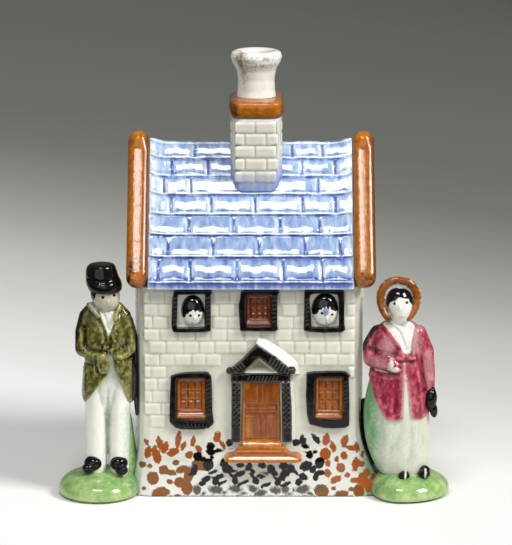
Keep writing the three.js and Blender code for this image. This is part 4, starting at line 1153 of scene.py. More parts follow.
window_frame(
    "upper_left_window_frame",
    [(-22.6, 63.8), (-17.2, 64.0), (-11.5, 64.0), (-11.2, 63.4), (-11.6, 62.4), (-11.6, 51.3),
     (-13.8, 51.0), (-19.5, 50.9), (-22.9, 51.0), (-23.3, 51.9), (-23.5, 53.7), (-23.2, 61.4)],
    [(-21.5, 62.6), (-17.2, 62.7), (-13.3, 62.8), (-13.4, 59.5), (-13.7, 56.6), (-13.5, 52.6),
     (-19.5, 52.3), (-21.9, 52.3), (-21.6, 59.5)],
    [((-23.0, 52.6), (-23.0, 61.8), 7, (0.9, 0.5)), ((-13.0, 52.8), (-13.0, 62.0), 7, (0.9, 0.5))],
)
window_frame(
    "upper_middle_window_frame",
    [(-2.6, 63.4), (-1.6, 63.9), (6.7, 63.9), (8.5, 64.0), (9.1, 63.5), (8.5, 62.6), (8.4, 52.7),
     (8.8, 51.9), (7.6, 51.2), (-2.8, 51.4), (-3.2, 57.5), (-3.2, 59.5), (-2.8, 61.4)],
    [(-1.0, 62.4), (-0.3, 62.7), (6.7, 62.7), (6.7, 59.5), (6.3, 55.6), (6.5, 52.9), (-0.6, 52.8),
     (-1.0, 54.4), (-1.1, 57.5)],
    [((7.0, 53.6), (7.0, 62.6), 7, (1.0, 0.2))],
)
window_frame(
    "upper_right_window_frame",
    [(16.5, 63.9), (22.1, 64.0), (28.4, 63.9), (28.6, 59.5), (28.6, 53.7), (28.9, 51.7),
     (27.9, 51.0), (22.2, 50.8), (18.4, 51.1), (16.4, 51.5), (16.5, 59.5)],
    [(18.1, 61.8), (18.6, 62.7), (20.1, 63.0), (24.0, 63.0), (26.5, 62.6), (26.8, 60.4),
     (27.0, 52.7), (22.6, 52.5), (18.7, 52.6), (18.6, 56.6), (18.2, 59.5)],
    [((17.0, 52.6), (17.0, 61.6), 7, (0.8, 0.4))],
)
window_frame(
    "lower_left_window_frame",
    [(-23.8, 37.3), (-21.7, 38.0), (-19.4, 38.4), (-13.6, 38.6), (-12.5, 38.4), (-11.5, 37.1),
     (-11.3, 33.2), (-11.2, 26.0), (-10.8, 22.6), (-11.6, 21.6), (-13.7, 20.7), (-15.5, 20.5),
     (-20.7, 20.6), (-22.5, 21.1), (-23.7, 22.3), (-24.3, 23.0), (-24.1, 30.8)],
    [(-22.1, 36.1), (-21.8, 36.5), (-13.6, 36.6), (-13.2, 35.6), (-13.1, 26.0), (-13.3, 23.9),
     (-15.0, 23.7), (-18.3, 23.8), (-22.0, 24.3), (-22.2, 30.8)],
    [((-12.7, 24.5), (-12.7, 36.6), 9, (1.0, 0.5)), ((-21.6, 22.3), (-12.4, 22.0), 8, (0.5, -0.9))],
)
window_frame(
    "lower_right_window_frame",
    [(17.3, 38.3), (19.4, 38.6), (24.1, 38.8), (28.0, 38.8), (29.2, 38.6), (30.6, 37.5),
     (30.1, 36.8), (30.3, 30.8), (30.4, 23.5), (30.3, 21.8), (29.1, 21.1), (25.3, 20.9),
     (22.5, 21.0), (19.5, 21.9), (18.2, 22.2), (17.5, 25.0), (17.1, 30.8)],
    [(19.8, 34.9), (20.4, 36.1), (20.6, 36.8), (28.3, 36.8), (28.4, 30.8), (28.7, 26.0),
     (28.1, 24.0), (24.1, 23.9), (20.2, 24.2), (19.7, 25.0), (19.9, 30.8)],
    [((28.9, 26.0), (28.9, 36.0), 8, (0.8, 0.3))],
)

# %% [markdown]
# Behind the bars lies a casement, pressed as a shallow relief. Its panes are flat squares between
# grooves, in which the amber glaze gathers dark, and its sill swells forward in two rounded steps
# that catch the soft box.

# %% Casements: outside, the panes' field, columns and rows
def casement(node, outside, field, columns, rows, material):
    (x0, z0), (x1, z1) = outside
    (u0, v0), (u1, v1) = field
    back, face = front_face + 1.25, front_face + 0.35
    lumps = [block((x0, face, z0), (x1, back, z1), 0.2)]
    wide, tall = (u1 - u0) / columns, (v1 - v0) / rows
    for column in range(columns):
        for row in range(rows):
            spot = (u0 + (column + 0.5) * wide, face - 0.1, v0 + (row + 0.5) * tall)
            lumps.append(block((spot[0] - wide * 0.39, spot[1] - 0.2, spot[2] - tall * 0.41),
                               (spot[0] + wide * 0.39, spot[1] + 0.3, spot[2] + tall * 0.41), 0.3))
    for x, inward in ((x0 + 0.55, 1), (x1 - 0.55, -1)):
        lumps += limb((x, face - 0.1, z0 + 1.8), (x + inward * 0.1, face - 0.1, z1 - 0.6), 0.62)
    lumps += limb((x0 + 0.6, face, z1 - 0.7), (x1 - 0.6, face, z1 - 0.7), 0.6)
    sill = v0 - 0.45
    lumps += limb((x0 + 1.4, face - 0.35, sill), (x1 - 1.4, face - 0.35, sill), 0.5)
    lumps += limb((x0 + 0.5, face - 0.75, z0 + 0.75), (x1 - 0.5, face - 0.75, z0 + 0.75), 0.8)
    lumps += limb((x0 + 0.7, face - 0.2, z0 + 1.3), (x1 - 0.7, face - 0.2, z0 + 1.3), 0.8)
    piece = fuse(lumps, 0.15, 3)
    return present(piece, node, material, pool_steps=6)


casement("upper_middle_casement", ((-1.1, 52.6), (6.6, 62.6)), ((0.3, 55.0), (5.9, 62.0)),
         3, 4, amber_dark)
casement("lower_left_casement", ((-22.2, 23.6), (-13.2, 36.7)), ((-20.9, 26.6), (-14.4, 35.0)),
         3, 3, amber)
casement("lower_right_casement", ((19.8, 23.5), (28.5, 36.8)), ((21.0, 26.4), (27.2, 35.3)),
         3, 3, amber)

# %% [markdown]
# The door is one pressed leaf. Its panels are low cushions, and iron glaze runs into the grooves
# round them: two upright lines between the upper panels, a rail across the middle with a small
# ring for a handle, and two uprights below.

# %% Door leaf
leaf_face = front_face - 0.6
leaf = [prism([(-1.9, 35.5), (9.0, 35.5), (9.3, 29.9), (9.5, 22.7), (9.5, 16.6), (-2.5, 16.6),
               (-2.4, 24.2), (-2.1, 31.6)], leaf_face, seat)]
cushions = [
    ((-1.3, 28.4), (2.5, 35.0)), ((4.6, 28.4), (8.7, 35.0)), ((2.9, 28.4), (4.2, 35.0)),
    ((-1.2, 25.6), (7.9, 27.3)), ((-1.2, 17.6), (3.0, 24.7)), ((5.1, 17.6), (8.8, 24.7)),
    ((3.5, 17.6), (4.6, 24.7)),
]
for low, high in cushions:
    leaf.append(block((low[0], leaf_face - 0.26, low[1]), (high[0], leaf_face + 0.3, high[1]),
                      0.24, 3))
for x in (-2.0, 9.0):
    leaf += limb((x, leaf_face, 17.0), (x + (0.3 if x < 0 else -0.2), leaf_face, 35.0), 0.36)
for i in range(10):
    a, b = math.radians(36 * i), math.radians(36 * (i + 1))
    leaf += limb((7.2 + 0.62 * math.cos(a), leaf_face - 0.35, 26.6 + 0.62 * math.sin(a)),
                 (7.2 + 0.62 * math.cos(b), leaf_face - 0.35, 26.6 + 0.62 * math.sin(b)), 0.22)
door_leaf = fuse(leaf, 0.15, 5)
x, y, z = corners(door_leaf).T
# Painted light: lighter orange down both edges of the leaf, along its foot and low on the left, and
# a painted highlight at its top left corner.
painted_glow = nearest(line(x, z, (-2.3, 28.5), (-2.3, 17.0), 0.9),
               line(x, z, (9.3, 30.0), (9.4, 17.0), 0.3),
               oval(x, z, (3.6, 16.4), (6.0, 1.2)), oval(x, z, (-0.6, 20.0), (1.0, 3.4)),
               oval(x, z, (-0.9, 34.6), (0.8, 0.8)))
store(door_leaf, "bright", painted_glow)
present(door_leaf, "door_leaf", amber_door, pool_steps=6)

# %% [markdown]
# The doorway's black frame is notched all over: a lattice up the pilasters, short ticks on lintel
# and gable. Above and to its right the clay stands thick off the wall and was left white, and that
# flank takes the light of the right lamp.

# %% Pilasters: their outline, their lattice's middle, and how far the white flank reaches
def pilaster(node, outline, lattice, flank):
    face = front_face - 1.7
    lumps = [prism(outline, face, seat)]
    foot, head = lattice
    for way in (1, -1):
        lumps += ridges((foot[0] - way * 0.85, foot[1]), (head[0] - way * 0.85, head[1]), 9,
                        (way * 1.7, 1.75), 0.25, face + 0.05)
    if flank:
        lumps.append(prism(flank, front_face - 0.95, seat))
    piece = fuse(lumps, 0.17, 3)
    x, y, z = corners(piece).T
    if flank:
        store(piece, "bare", np.maximum(0.15 - area(x, z, outline), -3.0))
    else:
        leave_bare(piece, "bare")
    leave_bare(piece, "shade")
    return present(piece, node, black_doorway, pool_steps=4)


pilaster("left_door_pilaster", [(-5.4, 35.45), (-2.65, 35.45), (-2.7, 16.6), (-5.5, 16.6)],
         ((-3.9, 20.5), (-3.8, 34.6)), None)
pilaster("right_door_pilaster",
         [(9.75, 35.45), (12.2, 35.45), (12.6, 29.9), (12.8, 22.7), (12.8, 16.6), (9.9, 16.6)],
         ((11.4, 20.5), (10.9, 34.6)),
         [(11.5, 35.45), (13.2, 35.45), (13.9, 26.0), (13.9, 17.2), (11.5, 17.2)])

# %% Lintel
lintel_lumps = [prism([(-5.6, 35.5), (-5.6, 37.6), (1.3, 38.3), (7.1, 38.3), (12.5, 37.6),
                       (12.4, 35.5)],
                      front_face - 1.7, seat)]
lintel_lumps += ridges((-1.0, 36.3), (8.6, 36.3), 9, (0.5, 1.1), 0.22, front_face - 1.6)
door_lintel = fuse(lintel_lumps, 0.18, 3)
leave_bare(door_lintel, "bare", "shade")
present(door_lintel, "door_lintel", black_doorway, pool_steps=4)

# %% Pediment: two raking bands that curl out at their feet, over a sunk white field
gable_tip = (2.3, 47.3)
rake_left = [(-6.9, 38.3), (-6.4, 39.2), (-5.3, 40.0), (-3.1, 41.7), gable_tip, (3.0, 43.3),
             (-2.0, 38.3)]
rake_right = [gable_tip, (7.1, 44.1), (11.9, 39.9), (12.6, 39.6), (13.4, 38.8), (13.3, 38.3),
              (9.2, 38.3), (3.0, 43.3)]
field = [(-4.4, 38.3), (11.4, 38.3), (2.9, 45.0)]
flank_steps = [(1.9, 0.5), (1.6, 1.0), (1.25, 1.5), (0.9, 2.0), (0.55, 2.4), (0.25, 2.7)]
ears = [((-5.9, 38.6), 1.15), ((12.6, 38.6), 1.15)]
pediment_lumps = [
    prism(rake_left, front_face - 2.3, seat),
    prism(rake_right, front_face - 2.3, seat),
    prism(field, front_face - 0.75, seat),
]
for height, out in flank_steps:
    flank_outline = [(1.6, 46.4), (1.9 + out * 0.3, 47.6 + out * 0.55),
                     (3.0 + out * 0.6, 46.9 + out * 0.7), (8.2 + out * 0.7, 43.2 + out * 0.8),
                     (12.4 + out * 0.8, 39.6 + out * 0.7), (13.2 + out * 0.8, 38.3 - out * 0.3),
                     (9.0, 38.3)]
    pediment_lumps.append(prism(flank_outline, front_face - height, seat))
for (x, z), size in ears:
    pediment_lumps.append(egg((x, front_face - 1.4, z + 0.5), (size, 1.1, size)))
for start, end, size in (((-1.9, 38.5), (3.0, 43.0), 0.24), ((3.0, 43.0), (9.0, 38.5), 0.42),
                         ((-1.9, 38.5), (9.0, 38.5), 0.28)):
    pediment_lumps += limb((start[0], front_face - 1.3, start[1]),
                           (end[0], front_face - 1.3, end[1]), size)
pediment_lumps += ridges((-5.6, 39.9), (-2.2, 42.2), 4, (1.1, -1.2), 0.24, front_face - 2.3)
pediment_lumps += ridges((6.4, 43.6), (12.6, 39.4), 7, (-0.9, -1.5), 0.24, front_face - 2.3)
pediment = fuse(pediment_lumps, 0.18, 6)
x, y, z = corners(pediment).T
black_bands = nearest(area(x, z, rake_left), area(x, z, rake_right),
                      *[dot(x, z, (ear_x, ear_z + 0.5), size) for (ear_x, ear_z), size in ears])
store(pediment, "bare", np.maximum(0.28 - black_bands, -3.0))
store(pediment, "shade", area(x, z, [(-0.8, 39.2), (3.0, 42.6), (7.0, 39.2)]) - 0.1)
present(pediment, "door_pediment", black_doorway, pool_steps=4)

# %% [markdown]
# The step is three treads that widen downwards, joined by a spreading block, with a rolled lip
# round the lowest. Every edge is a soft roll of clay, thin of glaze, that draws one bright line.

# %% Doorstep: treads with a slanted front edge, from one x to another, how far out, bottom and top
treads = [(-2.2, 9.5, 2.0, 15.0, 16.9), (-3.5, 10.7, 3.5, 13.8, 15.5),
          (-6.6, 14.9, 6.4, 11.5, 13.3)]
step_lumps = []
for x0, x1, reach, low, high in treads:
    profile = [(front_face, low), (front_face - reach, low),
               (front_face - reach - 0.1, high - 0.95),
               (front_face - reach + 0.75, high), (front_face, high + 0.1)]
    step_lumps.append(prism(profile, x0, x1, across="x"))
spread = [(-5.6, 12.9), (-4.4, 13.7), (-3.6, 14.8), (10.9, 14.8), (12.2, 13.7), (13.8, 12.9)]
step_lumps.append(prism(spread, front_face - 4.6, seat))
lip = [(-7.7, 12.2), (-7.2, 11.5), (15.5, 11.5), (16.0, 12.2), (15.2, 13.0), (12.8, 13.4),
       (-4.6, 13.4), (-6.8, 13.0)]
step_lumps.append(prism(lip, front_face - 5.7, seat))
doorstep = fuse(step_lumps, 0.20, 8)
x, y, z = corners(doorstep).T
store(doorstep, "rim",
      nearest(oval(x, z, (3.9, 14.0), (7.0, 0.4)),
              line(x, z, (-6.0, 11.8), (14.0, 11.8), 0.1) + 0.2))
present(doorstep, "doorstep", amber_step)

# %% [markdown]
# ## The faces at the windows
# Two little heads look out, pressed as domes on a white ground and painted with a heavy black
# fringe, dots for eyes and a touch of colour at the mouth. The brush left the fringe in teeth.

# %% A face: its ground, its dome, and the outline of the hair's lower edge
pearl_face = glaze("pearlware, pressed face", "#f0efe8", "#e6e5db", "#b3b2a4", cloud=3.0,
                   cloud_share=0.15, pool_gain=1.2,
                   # Painted shadow under the fringe, in blue-grey.
                   zones=[("fringe_shadow", "#8b99b8", 0.35, 0.25), ("rouge", "#a5694f", 0.12, 0.05),
                          ("ink", "#0d0a0a", 0.07, 0.05)])


def window_face(node, ground, middle, half, hair, eyes, eye_size, mouth, fringe_shadow):
    (x0, z0), (x1, z1) = ground
    face_y = front_face + 0.6
    lumps = [
        block((x0, front_face + 0.15, z0), (x1, front_face + 1.2, z1), 0.1),
        egg((middle[0], face_y, middle[1]), half),
        egg(((eyes[0][0] + eyes[1][0]) / 2, face_y - half[1] + 0.25, mouth[1] + 1.7),
            (0.4, 0.45, 0.8)),
    ]
    piece = fuse(lumps, 0.15, 4)
    x, y, z = corners(piece).T
    dome = np.where(y < front_face + 0.1, 0.0, elsewhere)
    store(piece, "ink",
          nearest(area(x, z, hair), *[oval(x, z, eye, eye_size, -10) for eye in eyes]) + dome)
    store(piece, "rouge", oval(x, z, mouth, (0.36, 0.3)) + dome)
    # Painted shadow: a blue-grey patch on the brow, under the fringe.
    store(piece, "fringe_shadow", oval(x, z, fringe_shadow[0], fringe_shadow[1]) + dome)
    return present(piece, node, pearl_face, pool_steps=4)


no_fringe_shadow = ((-17, 90), (1, 1))
window_face(
    "left_window_face", ((-21.9, 52.2), (-13.1, 62.9)), (-17.05, 57.5), (3.5, 3.2, 4.8),
    [(-22, 64), (-12, 64), (-12, 57.0), (-13.8, 56.8), (-14.4, 57.5), (-14.9, 57.2), (-15.3, 57.8),
     (-15.8, 58.0), (-16.3, 57.4), (-16.5, 58.0), (-16.8, 58.4), (-17.3, 57.9), (-18.0, 57.7),
     (-18.4, 57.0), (-18.9, 56.9), (-19.2, 56.1), (-19.6, 55.5), (-20.1, 55.4), (-22, 56)],
    ((-17.7, 56.4), (-15.15, 56.4)), (0.40, 0.44), (-17.2, 53.9), no_fringe_shadow,
)
window_face(
    "right_window_face", ((18.1, 52.4), (27.1, 63.1)), (22.8, 57.8), (4.05, 3.3, 5.2),
    [(17, 65), (29, 65), (29, 57.2), (26.7, 57.2), (26.2, 57.7), (25.9, 57.5), (25.4, 57.9),
     (25.0, 58.0), (24.5, 58.4), (24.2, 59.3), (23.9, 58.5), (23.5, 58.4), (23.1, 59.5),
     (22.7, 58.5), (22.1, 59.0), (21.6, 58.2), (21.1, 58.4), (20.7, 57.6), (20.3, 56.8),
     (19.4, 56.5), (17, 56.7)],
    ((21.8, 57.2), (24.9, 56.7)), (0.42, 0.40), (23.2, 53.9), ((22.95, 57.5), (0.95, 1.1)),
)


# %% [markdown]
# ## The man
# The figures were pressed in small two-part moulds and touched up by hand. Each garment is built
# from soft oval rings and limbs and fused, then creases are pressed into its front as with a
# rounded tool. The man stands on a low mound with a green prop of clay behind the leg that is on
# the right as seen.

# %% Where he stands
man = (-43.6, -24.0)
man_y = man[1]


def from_man(outline):
    return [(man[0] + x, z) for x, z in outline]


def seen_from_front(piece, middle):
    x, y, z = corners(piece).T
    return x - middle[0], y - middle[1], z


# %% Creases: a path seen from the front, its width, how deep it is pressed, and how far it fades
def crease(piece, middle, marks):
    u, depth, z = seen_from_front(piece, middle)
    for spots, width, sunk, soft in marks:
        press(piece, path(u, z, spots, width), sunk, soft)
    return seen_from_front(piece, middle)


# %% Mound with its prop
def mound_rings(half_width, half_depth, height=7.6):
    shares = [(0, 0.95), (0.14, 0.99), (0.32, 1), (0.55, 0.94), (0.76, 0.8), (0.91, 0.58), (1, 0.3)]
    return [(level * height, 0, 0, share * half_width, share * half_depth)
            for level, share in shares]


prop = [(3, 6, 4, 4.8, 5), (10, 5.6, 3.6, 3.8, 4), (19, 5.2, 3.2, 2.9, 3.4), (27.2, 4.8, 3, 2.6, 3)]
man_mound = fuse(
    [ring_form(mound_rings(12.8, 13.5), (-45.7, man_y), 64), ring_form(prop, man)], 0.36, 8,
)
u, depth, z = seen_from_front(man_mound, man)
# Darker teal towards the wall: pooled glaze and painted shade.
store(man_mound, "pooled_green_and_shade", 8.9 - u - np.maximum(0, z - 8) * 0.05 + 0.5 * np.sin(z * 0.9))
present(man_mound, "man_mound", grass_green, pool_steps=10)

# %% Trousers: two legs melted together at hips and thighs, with a crease pressed between them
def leg(x):
    rings = [(5.6, x, -1.6, 2.5, 2.8), (8.0, x, -1.4, 2.9, 3.1), (13, x, -0.8, 3.2, 3.4),
             (22, x, -0.3, 3.45, 3.8), (32, x, 0, 3.5, 4.3), (38, x, 0, 3.2, 4.2)]
    return ring_form(rings, man, 32)


hips = ring_form([(20, 0.5, 0.6, 2.4, 2.2), (26, 0.5, 0.4, 4.4, 3.2), (30.5, 0.6, 0.1, 6.2, 4.1),
                  (34, 0.7, 0.1, 7.0, 4.6), (40, 0.5, 0, 6.9, 4.7), (46.5, 0.3, 0, 6.0, 4.4)], man)
between = ring_form([(12.6, 0.4, 0.4, 2.4, 2.0), (20, 0.4, 0.4, 2.8, 2.5),
                     (27, 0.4, 0.5, 2.6, 2.3)], man, 24)
trousers = fuse([leg(-2.9), leg(4.0), hips, between], 0.28, 8)
u, depth, z = seen_from_front(trousers, man)
press(trousers, path(u, z, [(1.0, 37), (0.6, 27), (0.4, 13)], 0.3) + 0.13 * np.maximum(z - 25, 0),
      0.4, 1.5)
# Painted shade: green-grey down his right side towards the wall, beside the crease and at the waist
# under the coat.
store(trousers, "green_wash_and_shade",
      nearest(line(u, z, (7.6, 26), (7.4, 12), 1.2), oval(u, z, (2.4, 42), (1.2, 4.6)),
              line(u, z, (0.9, 30), (0.6, 13), 0.6) + 1.3))
leave_bare(trousers, "moss", "ink", "rouge")
present(trousers, "man_trousers", pearl_figure, pool_steps=8)

# %% [markdown]
# The tailcoat has the most modelling: sloping shoulders, bent arms whose cuffs meet at the waist,
# lapels, ring-shaped buttons, and tails cut away in a long slant to each side. A mass of clay
# behind its right edge reaches towards the wall, painted near black as shade in the gap. Its back
# isn't seen, and it and the outer slopes of the shoulders are painted near black.

# %% Tailcoat: body, tails and arms in one skin
coat_body = ring_form(
    [(39, 0.2, 0, 6.5, 5.0), (43, 0.1, 0, 6.5, 5.2), (48, 0, 0.1, 6.7, 5.3), (52, 0, 0.3, 6.6, 5.0),
     (55, 0, 0.4, 6.0, 4.5), (57.5, 0, 0.5, 5.1, 3.9), (59.6, 0, 0.8, 4.1, 3.0)], man)
tails = ring_form(
    [(27.2, 0.7, 0.9, 6.9, 5.6), (30, 0.8, 0.8, 8.3, 6.3), (33.5, 0.9, 0.5, 8.4, 6.4),
     (38, 1.2, 0.3, 8.1, 6.0), (44, 0.7, 0.1, 7.4, 5.2)], man)
arms = []
for side, cuff in ((-1, -0.8), (1, 4.2)):
    arms += limb((side * 3.9, 0.8, 58.0), (side * 5.6, 0.6, 55.4), 1.8, 2.3, man)
    arms += limb((side * 5.6, 0.6, 55.4), (side * 6.7, 0.2, 50.6), 2.3, 2.45, man)
    arms += limb((side * 6.7, 0.2, 50.6), (side * 6.9, -0.5, 45.6), 2.45, 2.3, man)
    arms += limb((side * 6.8, -0.7, 45.2), (cuff, -4.9, 44.0), 2.1, 1.7, man)
# Painted shade: a dark mass in the gap between his right edge and the wall, painted near black.
shade_mass = [
    ((4.9, 2.0, 57.2), (7.1, 2.4, 53.6), 1.3, 1.4),
    ((7.1, 2.4, 53.6), (8.4, 2.4, 48.0), 1.4, 1.5),
    ((8.4, 2.4, 48.0), (8.9, 2.4, 34.0), 1.4, 1.1),
    ((8.9, 2.4, 34.0), (9.3, 2.6, 24.0), 1.1, 0.6),
]
for start, end, size, end_size in shade_mass:
    arms += limb(start, end, size, end_size, man)
cutaway = from_man([(1.5, 46.2), (1.1, 44.0), (1.0, 38.2), (-0.4, 37.2), (-2.5, 34.1), (-5.6, 29.8),
                    (-6.9, 25.5), (8.3, 25.5), (7.6, 28.3), (6.8, 30.7), (5.5, 34.6), (3.8, 37.9),
                    (2.6, 42.7), (1.9, 45.6)])
shirt_gap = from_man([(1.2, 50.4), (1.6, 50.4), (5.0, 59.9), (-2.4, 59.9)])
coat = fuse([coat_body, tails] + arms, 0.26, 3)
coat = carve(coat, prism(cutaway, far_front, man_y - 1.2))
coat = carve(coat, prism(shirt_gap, far_front, man_y - 1.2))
cuffs = [
    egg((man[0] - 0.5, man_y - 5.3, 42.0), (1.9, 1.2, 3.3)),
    egg((man[0] + 4.4, man_y - 5.2, 41.7), (1.7, 1.2, 3.1)),
]
cuffs += limb((-4.7, -1.2, 59.3), (-1.9, -4.3, 56.4), 0.8, 0.7, man)
cuffs += limb((4.7, -1.4, 59.0), (3.3, -4.2, 55.4), 0.8, 0.7, man)
ring_buttons = [(-0.4, 41.8), (-0.6, 48.7), (0.1, 46.9), (3.4, 51.3), (3.2, 48.9), (4.2, 42.9)]
for u0, z0 in ring_buttons:
    cuffs.append(egg((man[0] + u0, man_y - (6.3 if z0 < 45 else 5.3), z0), (0.6, 0.35, 0.6)))
coat = fuse([coat] + cuffs, 0.24, 3)

# %% Creases of the coat, then its paint
u, depth, z = crease(coat, man, [
    ([(-6.3, 52.5), (-5.9, 47.8), (-4.9, 46.2), (-1.6, 45.6)], 0.2, 0.45, 1.3),
    ([(7.3, 52.0), (7.0, 47.8), (6.4, 46.2), (5.2, 45.4), (3.4, 45.2)], 0.2, 0.45, 1.3),
    ([(-2.7, 44.2), (-2.3, 39.4)], 0.2, 0.5, 0.8),
    ([(-4.0, 58.6), (-1.6, 55.4), (0.2, 52.0), (0.9, 47.6)], 0.1, 0.35, 0.9),
    ([(4.6, 57.4), (3.0, 54.0), (1.9, 50.8), (1.8, 46.9)], 0.1, 0.35, 0.9),
])
front = np.where(depth < 0, 0.0, elsewhere)
right_shoulder = area(u, z,
                      [(4.4, 61), (6.0, 57.7), (7.4, 54.9), (8.4, 51.0), (9.0, 47.0), (13, 47),
                       (13, 61)])
left_shoulder = area(u, z,
                     [(-4.9, 60), (-5.3, 58.0), (-6.7, 54.4), (-7.6, 51.0), (-8.3, 47.2),
                      (-8.2, 43.4), (-13, 43.4), (-13, 60)])
seams = nearest(path(u, z, [(1.5, 50.6), (1.3, 45.4)], 0.3),
                line(u, z, (-1.9, 45.7), (1.4, 46.0), 0.1))
rings = nearest(*[np.abs(dot(u, z, spot, 0.62)) - 0.15 for spot in ring_buttons])
# Near black: the back and the outer slopes of the shoulders, the seams and button rings, and
# painted shade by the wall.
store(coat, "dark",
      nearest(right_shoulder, left_shoulder, 3.4 - depth, np.where(u > 3.6, 1.5 - depth, elsewhere),
              np.where(u > 8.0, 0.5 - depth, elsewhere), np.where(u > 8.0, z - 44.0, elsewhere),
              seams + front, rings + front))
pale_bulge = area(u, z, [(-6.6, 38.2), (-6.9, 34.0), (-6.8, 29.0), (-12, 27.5), (-12, 38.2)])
collar = area(u, z, [(-5.6, 60.4), (-4.6, 59.0), (-2.6, 57.0), (-1.8, 58.4), (-3.0, 60.6)])
store(coat, "pale", nearest(pale_bulge, collar) + np.where(depth < 2, 0.0, elsewhere))
present(coat, "man_tailcoat", olive, pool_steps=7)

# %% Shirt front
shirt = ring_form(
    [(46, 0, 0, 5.6, 4.4), (50, 0, 0.2, 5.8, 4.3), (53.5, 0, 0.4, 5.6, 3.9), (56, 0, 0.5, 4.8, 3.6),
     (58.4, 0, 0.4, 4.1, 3.3)], man, 32)
shirt_keep = prism(from_man([(1.1, 50.0), (1.7, 50.0), (5.2, 59.8), (-2.6, 59.8)]), far_front,
                   man_y - 1.0)
shirt = fuse([carve(shirt, shirt_keep, "INTERSECT")], 0.2, 3)
crease(shirt, man, [
    ([(-0.4, 57.4), (1.4, 52.0)], 0.1, 0.3, 0.7),
])
leave_bare(shirt, "ink", "rouge")
present(shirt, "man_shirt_front", linen, pool_steps=5)

# %% [markdown]
# His face is a rounded block under the hat, with a hint of a nose, two dots for eyes and a
# black side lock that runs down from the hat at the left. Its glaze is painted darker, as the
# shadow of the hat.

# %% Head
head = fuse(
    [ring_form([(57.0, 0.5, 0.3, 3.0, 3.0), (58.8, 0.6, -0.2, 3.6, 3.8),
                (60.4, 0.4, -0.4, 4.2, 4.5), (62.4, 0.1, -0.3, 4.5, 4.6),
                (64.2, 0, -0.2, 4.5, 4.5)], man),
     egg((man[0] + 1.25, man_y - 4.6, 60.9), (0.4, 0.45, 1.0))],
    0.2, 6,
)
u, depth, z = seen_from_front(head, man)
lock = area(u, z,
            [(-6, 65.5), (-2.1, 65.5), (-2.3, 63.5), (-2.7, 62.0), (-3.3, 60.9), (-3.8, 60.1),
             (-6, 59.8)])
eyes = [oval(u, z, (-0.25, 62.45), (0.45, 0.5)), oval(u, z, (3.05, 62.8), (0.45, 0.45))]
store(head, "ink", nearest(lock, 1.2 - depth, *eyes))
store(head, "rouge", oval(u, z, (1.4, 59.3), (0.6, 0.12)))
present(head, "man_head", face_in_hat_shadow, pool_steps=4)

# %% Hat: a tall crown that leans back to the left over a rolled brim
hat = fuse(
    [ring_form([(63.1, 0.4, -0.4, 4.6, 5.0), (64.1, 0.2, -0.5, 5.1, 5.5),
                (65.5, -0.1, -0.4, 5.45, 5.7), (66.6, -0.3, -0.3, 5.35, 5.3),
                (67.8, -0.7, -0.2, 5.0, 4.9), (69.8, -1.0, 0, 4.7, 4.5), (71.2, -0.9, 0, 4.2, 4.1),
                (71.9, -0.7, 0, 3.3, 3.3)], man)],
    0.24, 4,
)
crease(hat, man, [
    ([(-5.2, 67.6), (-1.0, 67.0), (4.6, 67.6)], 0.2, 0.35, 0.9),
])
leave_bare(hat, "bare")
present(hat, "man_hat", black, pool_steps=6)

# %% Shoes: splayed outward, a rounded toe under an instep
def man_shoe(node, toe, instep, turn):
    lumps = [egg((man[0] + toe[0], man_y + toe[1], toe[2]), (1.9, 2.4, 1.6), (-12, 0, turn)),
             egg((man[0] + instep[0], man_y + instep[1], instep[2]), (2.8, 2.5, 2.3),
                 (-10, 0, turn))]
    piece = fuse(lumps, 0.2, 3)
    leave_bare(piece, "bare")
    return present(piece, node, black, pool_steps=4)


man_shoe("man_left_shoe", (-5.2, -4.8, 9.1), (-4.0, -3.6, 10.3), -30)
man_shoe("man_right_shoe", (4.8, -5.2, 8.6), (3.9, -3.6, 10.3), 24)


# %% [markdown]
# ## The woman
# She wears a long jacket, belted high, over a white gown with green brushed down its side, a
# white kerchief at the neck and a bonnet with an ochre rim. A black bag hangs from her hand. A
# web of clay, painted black as shade, closes the gap between her gown and the wall.

# %% Where she stands
woman = (45.0, -24.0)
woman_y = woman[1]


def from_woman(outline):
    return [(woman[0] + x, z) for x, z in outline]


# %% Mound
woman_mound = fuse([ring_form(mound_rings(14.6, 13.2), (46.6, woman_y), 64)], 0.36, 8)
for corner in woman_mound.data.vertices:
    inward = max(0.0, 45.0 - (corner.co.x - at(0, 0, 0).x) / mm)
    corner.co.x += 0.35 * inward * mm
u, depth, z = seen_from_front(woman_mound, woman)
# Darker teal towards the wall and under the front of her hem: pooled glaze and painted shade.
store(woman_mound, "pooled_green_and_shade", nearest(
    u + 8.2 + 0.6 * np.sin(depth * 0.7),
    oval(u, depth, (-4.6, -7.4), (2.6, 1.3)) + 1.0,
    oval(u, depth, (1.6, -8.0), (2.2, 0.9)) + 1.2,
    oval(u, depth, (7.0, -7.4), (1.8, 0.8)) + 1.3,
))
present(woman_mound, "woman_mound", grass_green, pool_steps=10)

# %% Gown
skirt_rings = [(5.8, 1.8, 0, 6.6, 5.6), (8.0, 1.7, 0, 8.0, 6.2), (12, 0.9, 0, 9.2, 6.5),
               (17, 0.1, 0, 10.0, 6.6), (24, -0.4, 0, 10.2, 6.6), (30, -0.4, 0, 9.8, 6.5),
               (38, 0, 0, 8.0, 5.75), (44, -0.1, 0, 7.0, 4.8)]
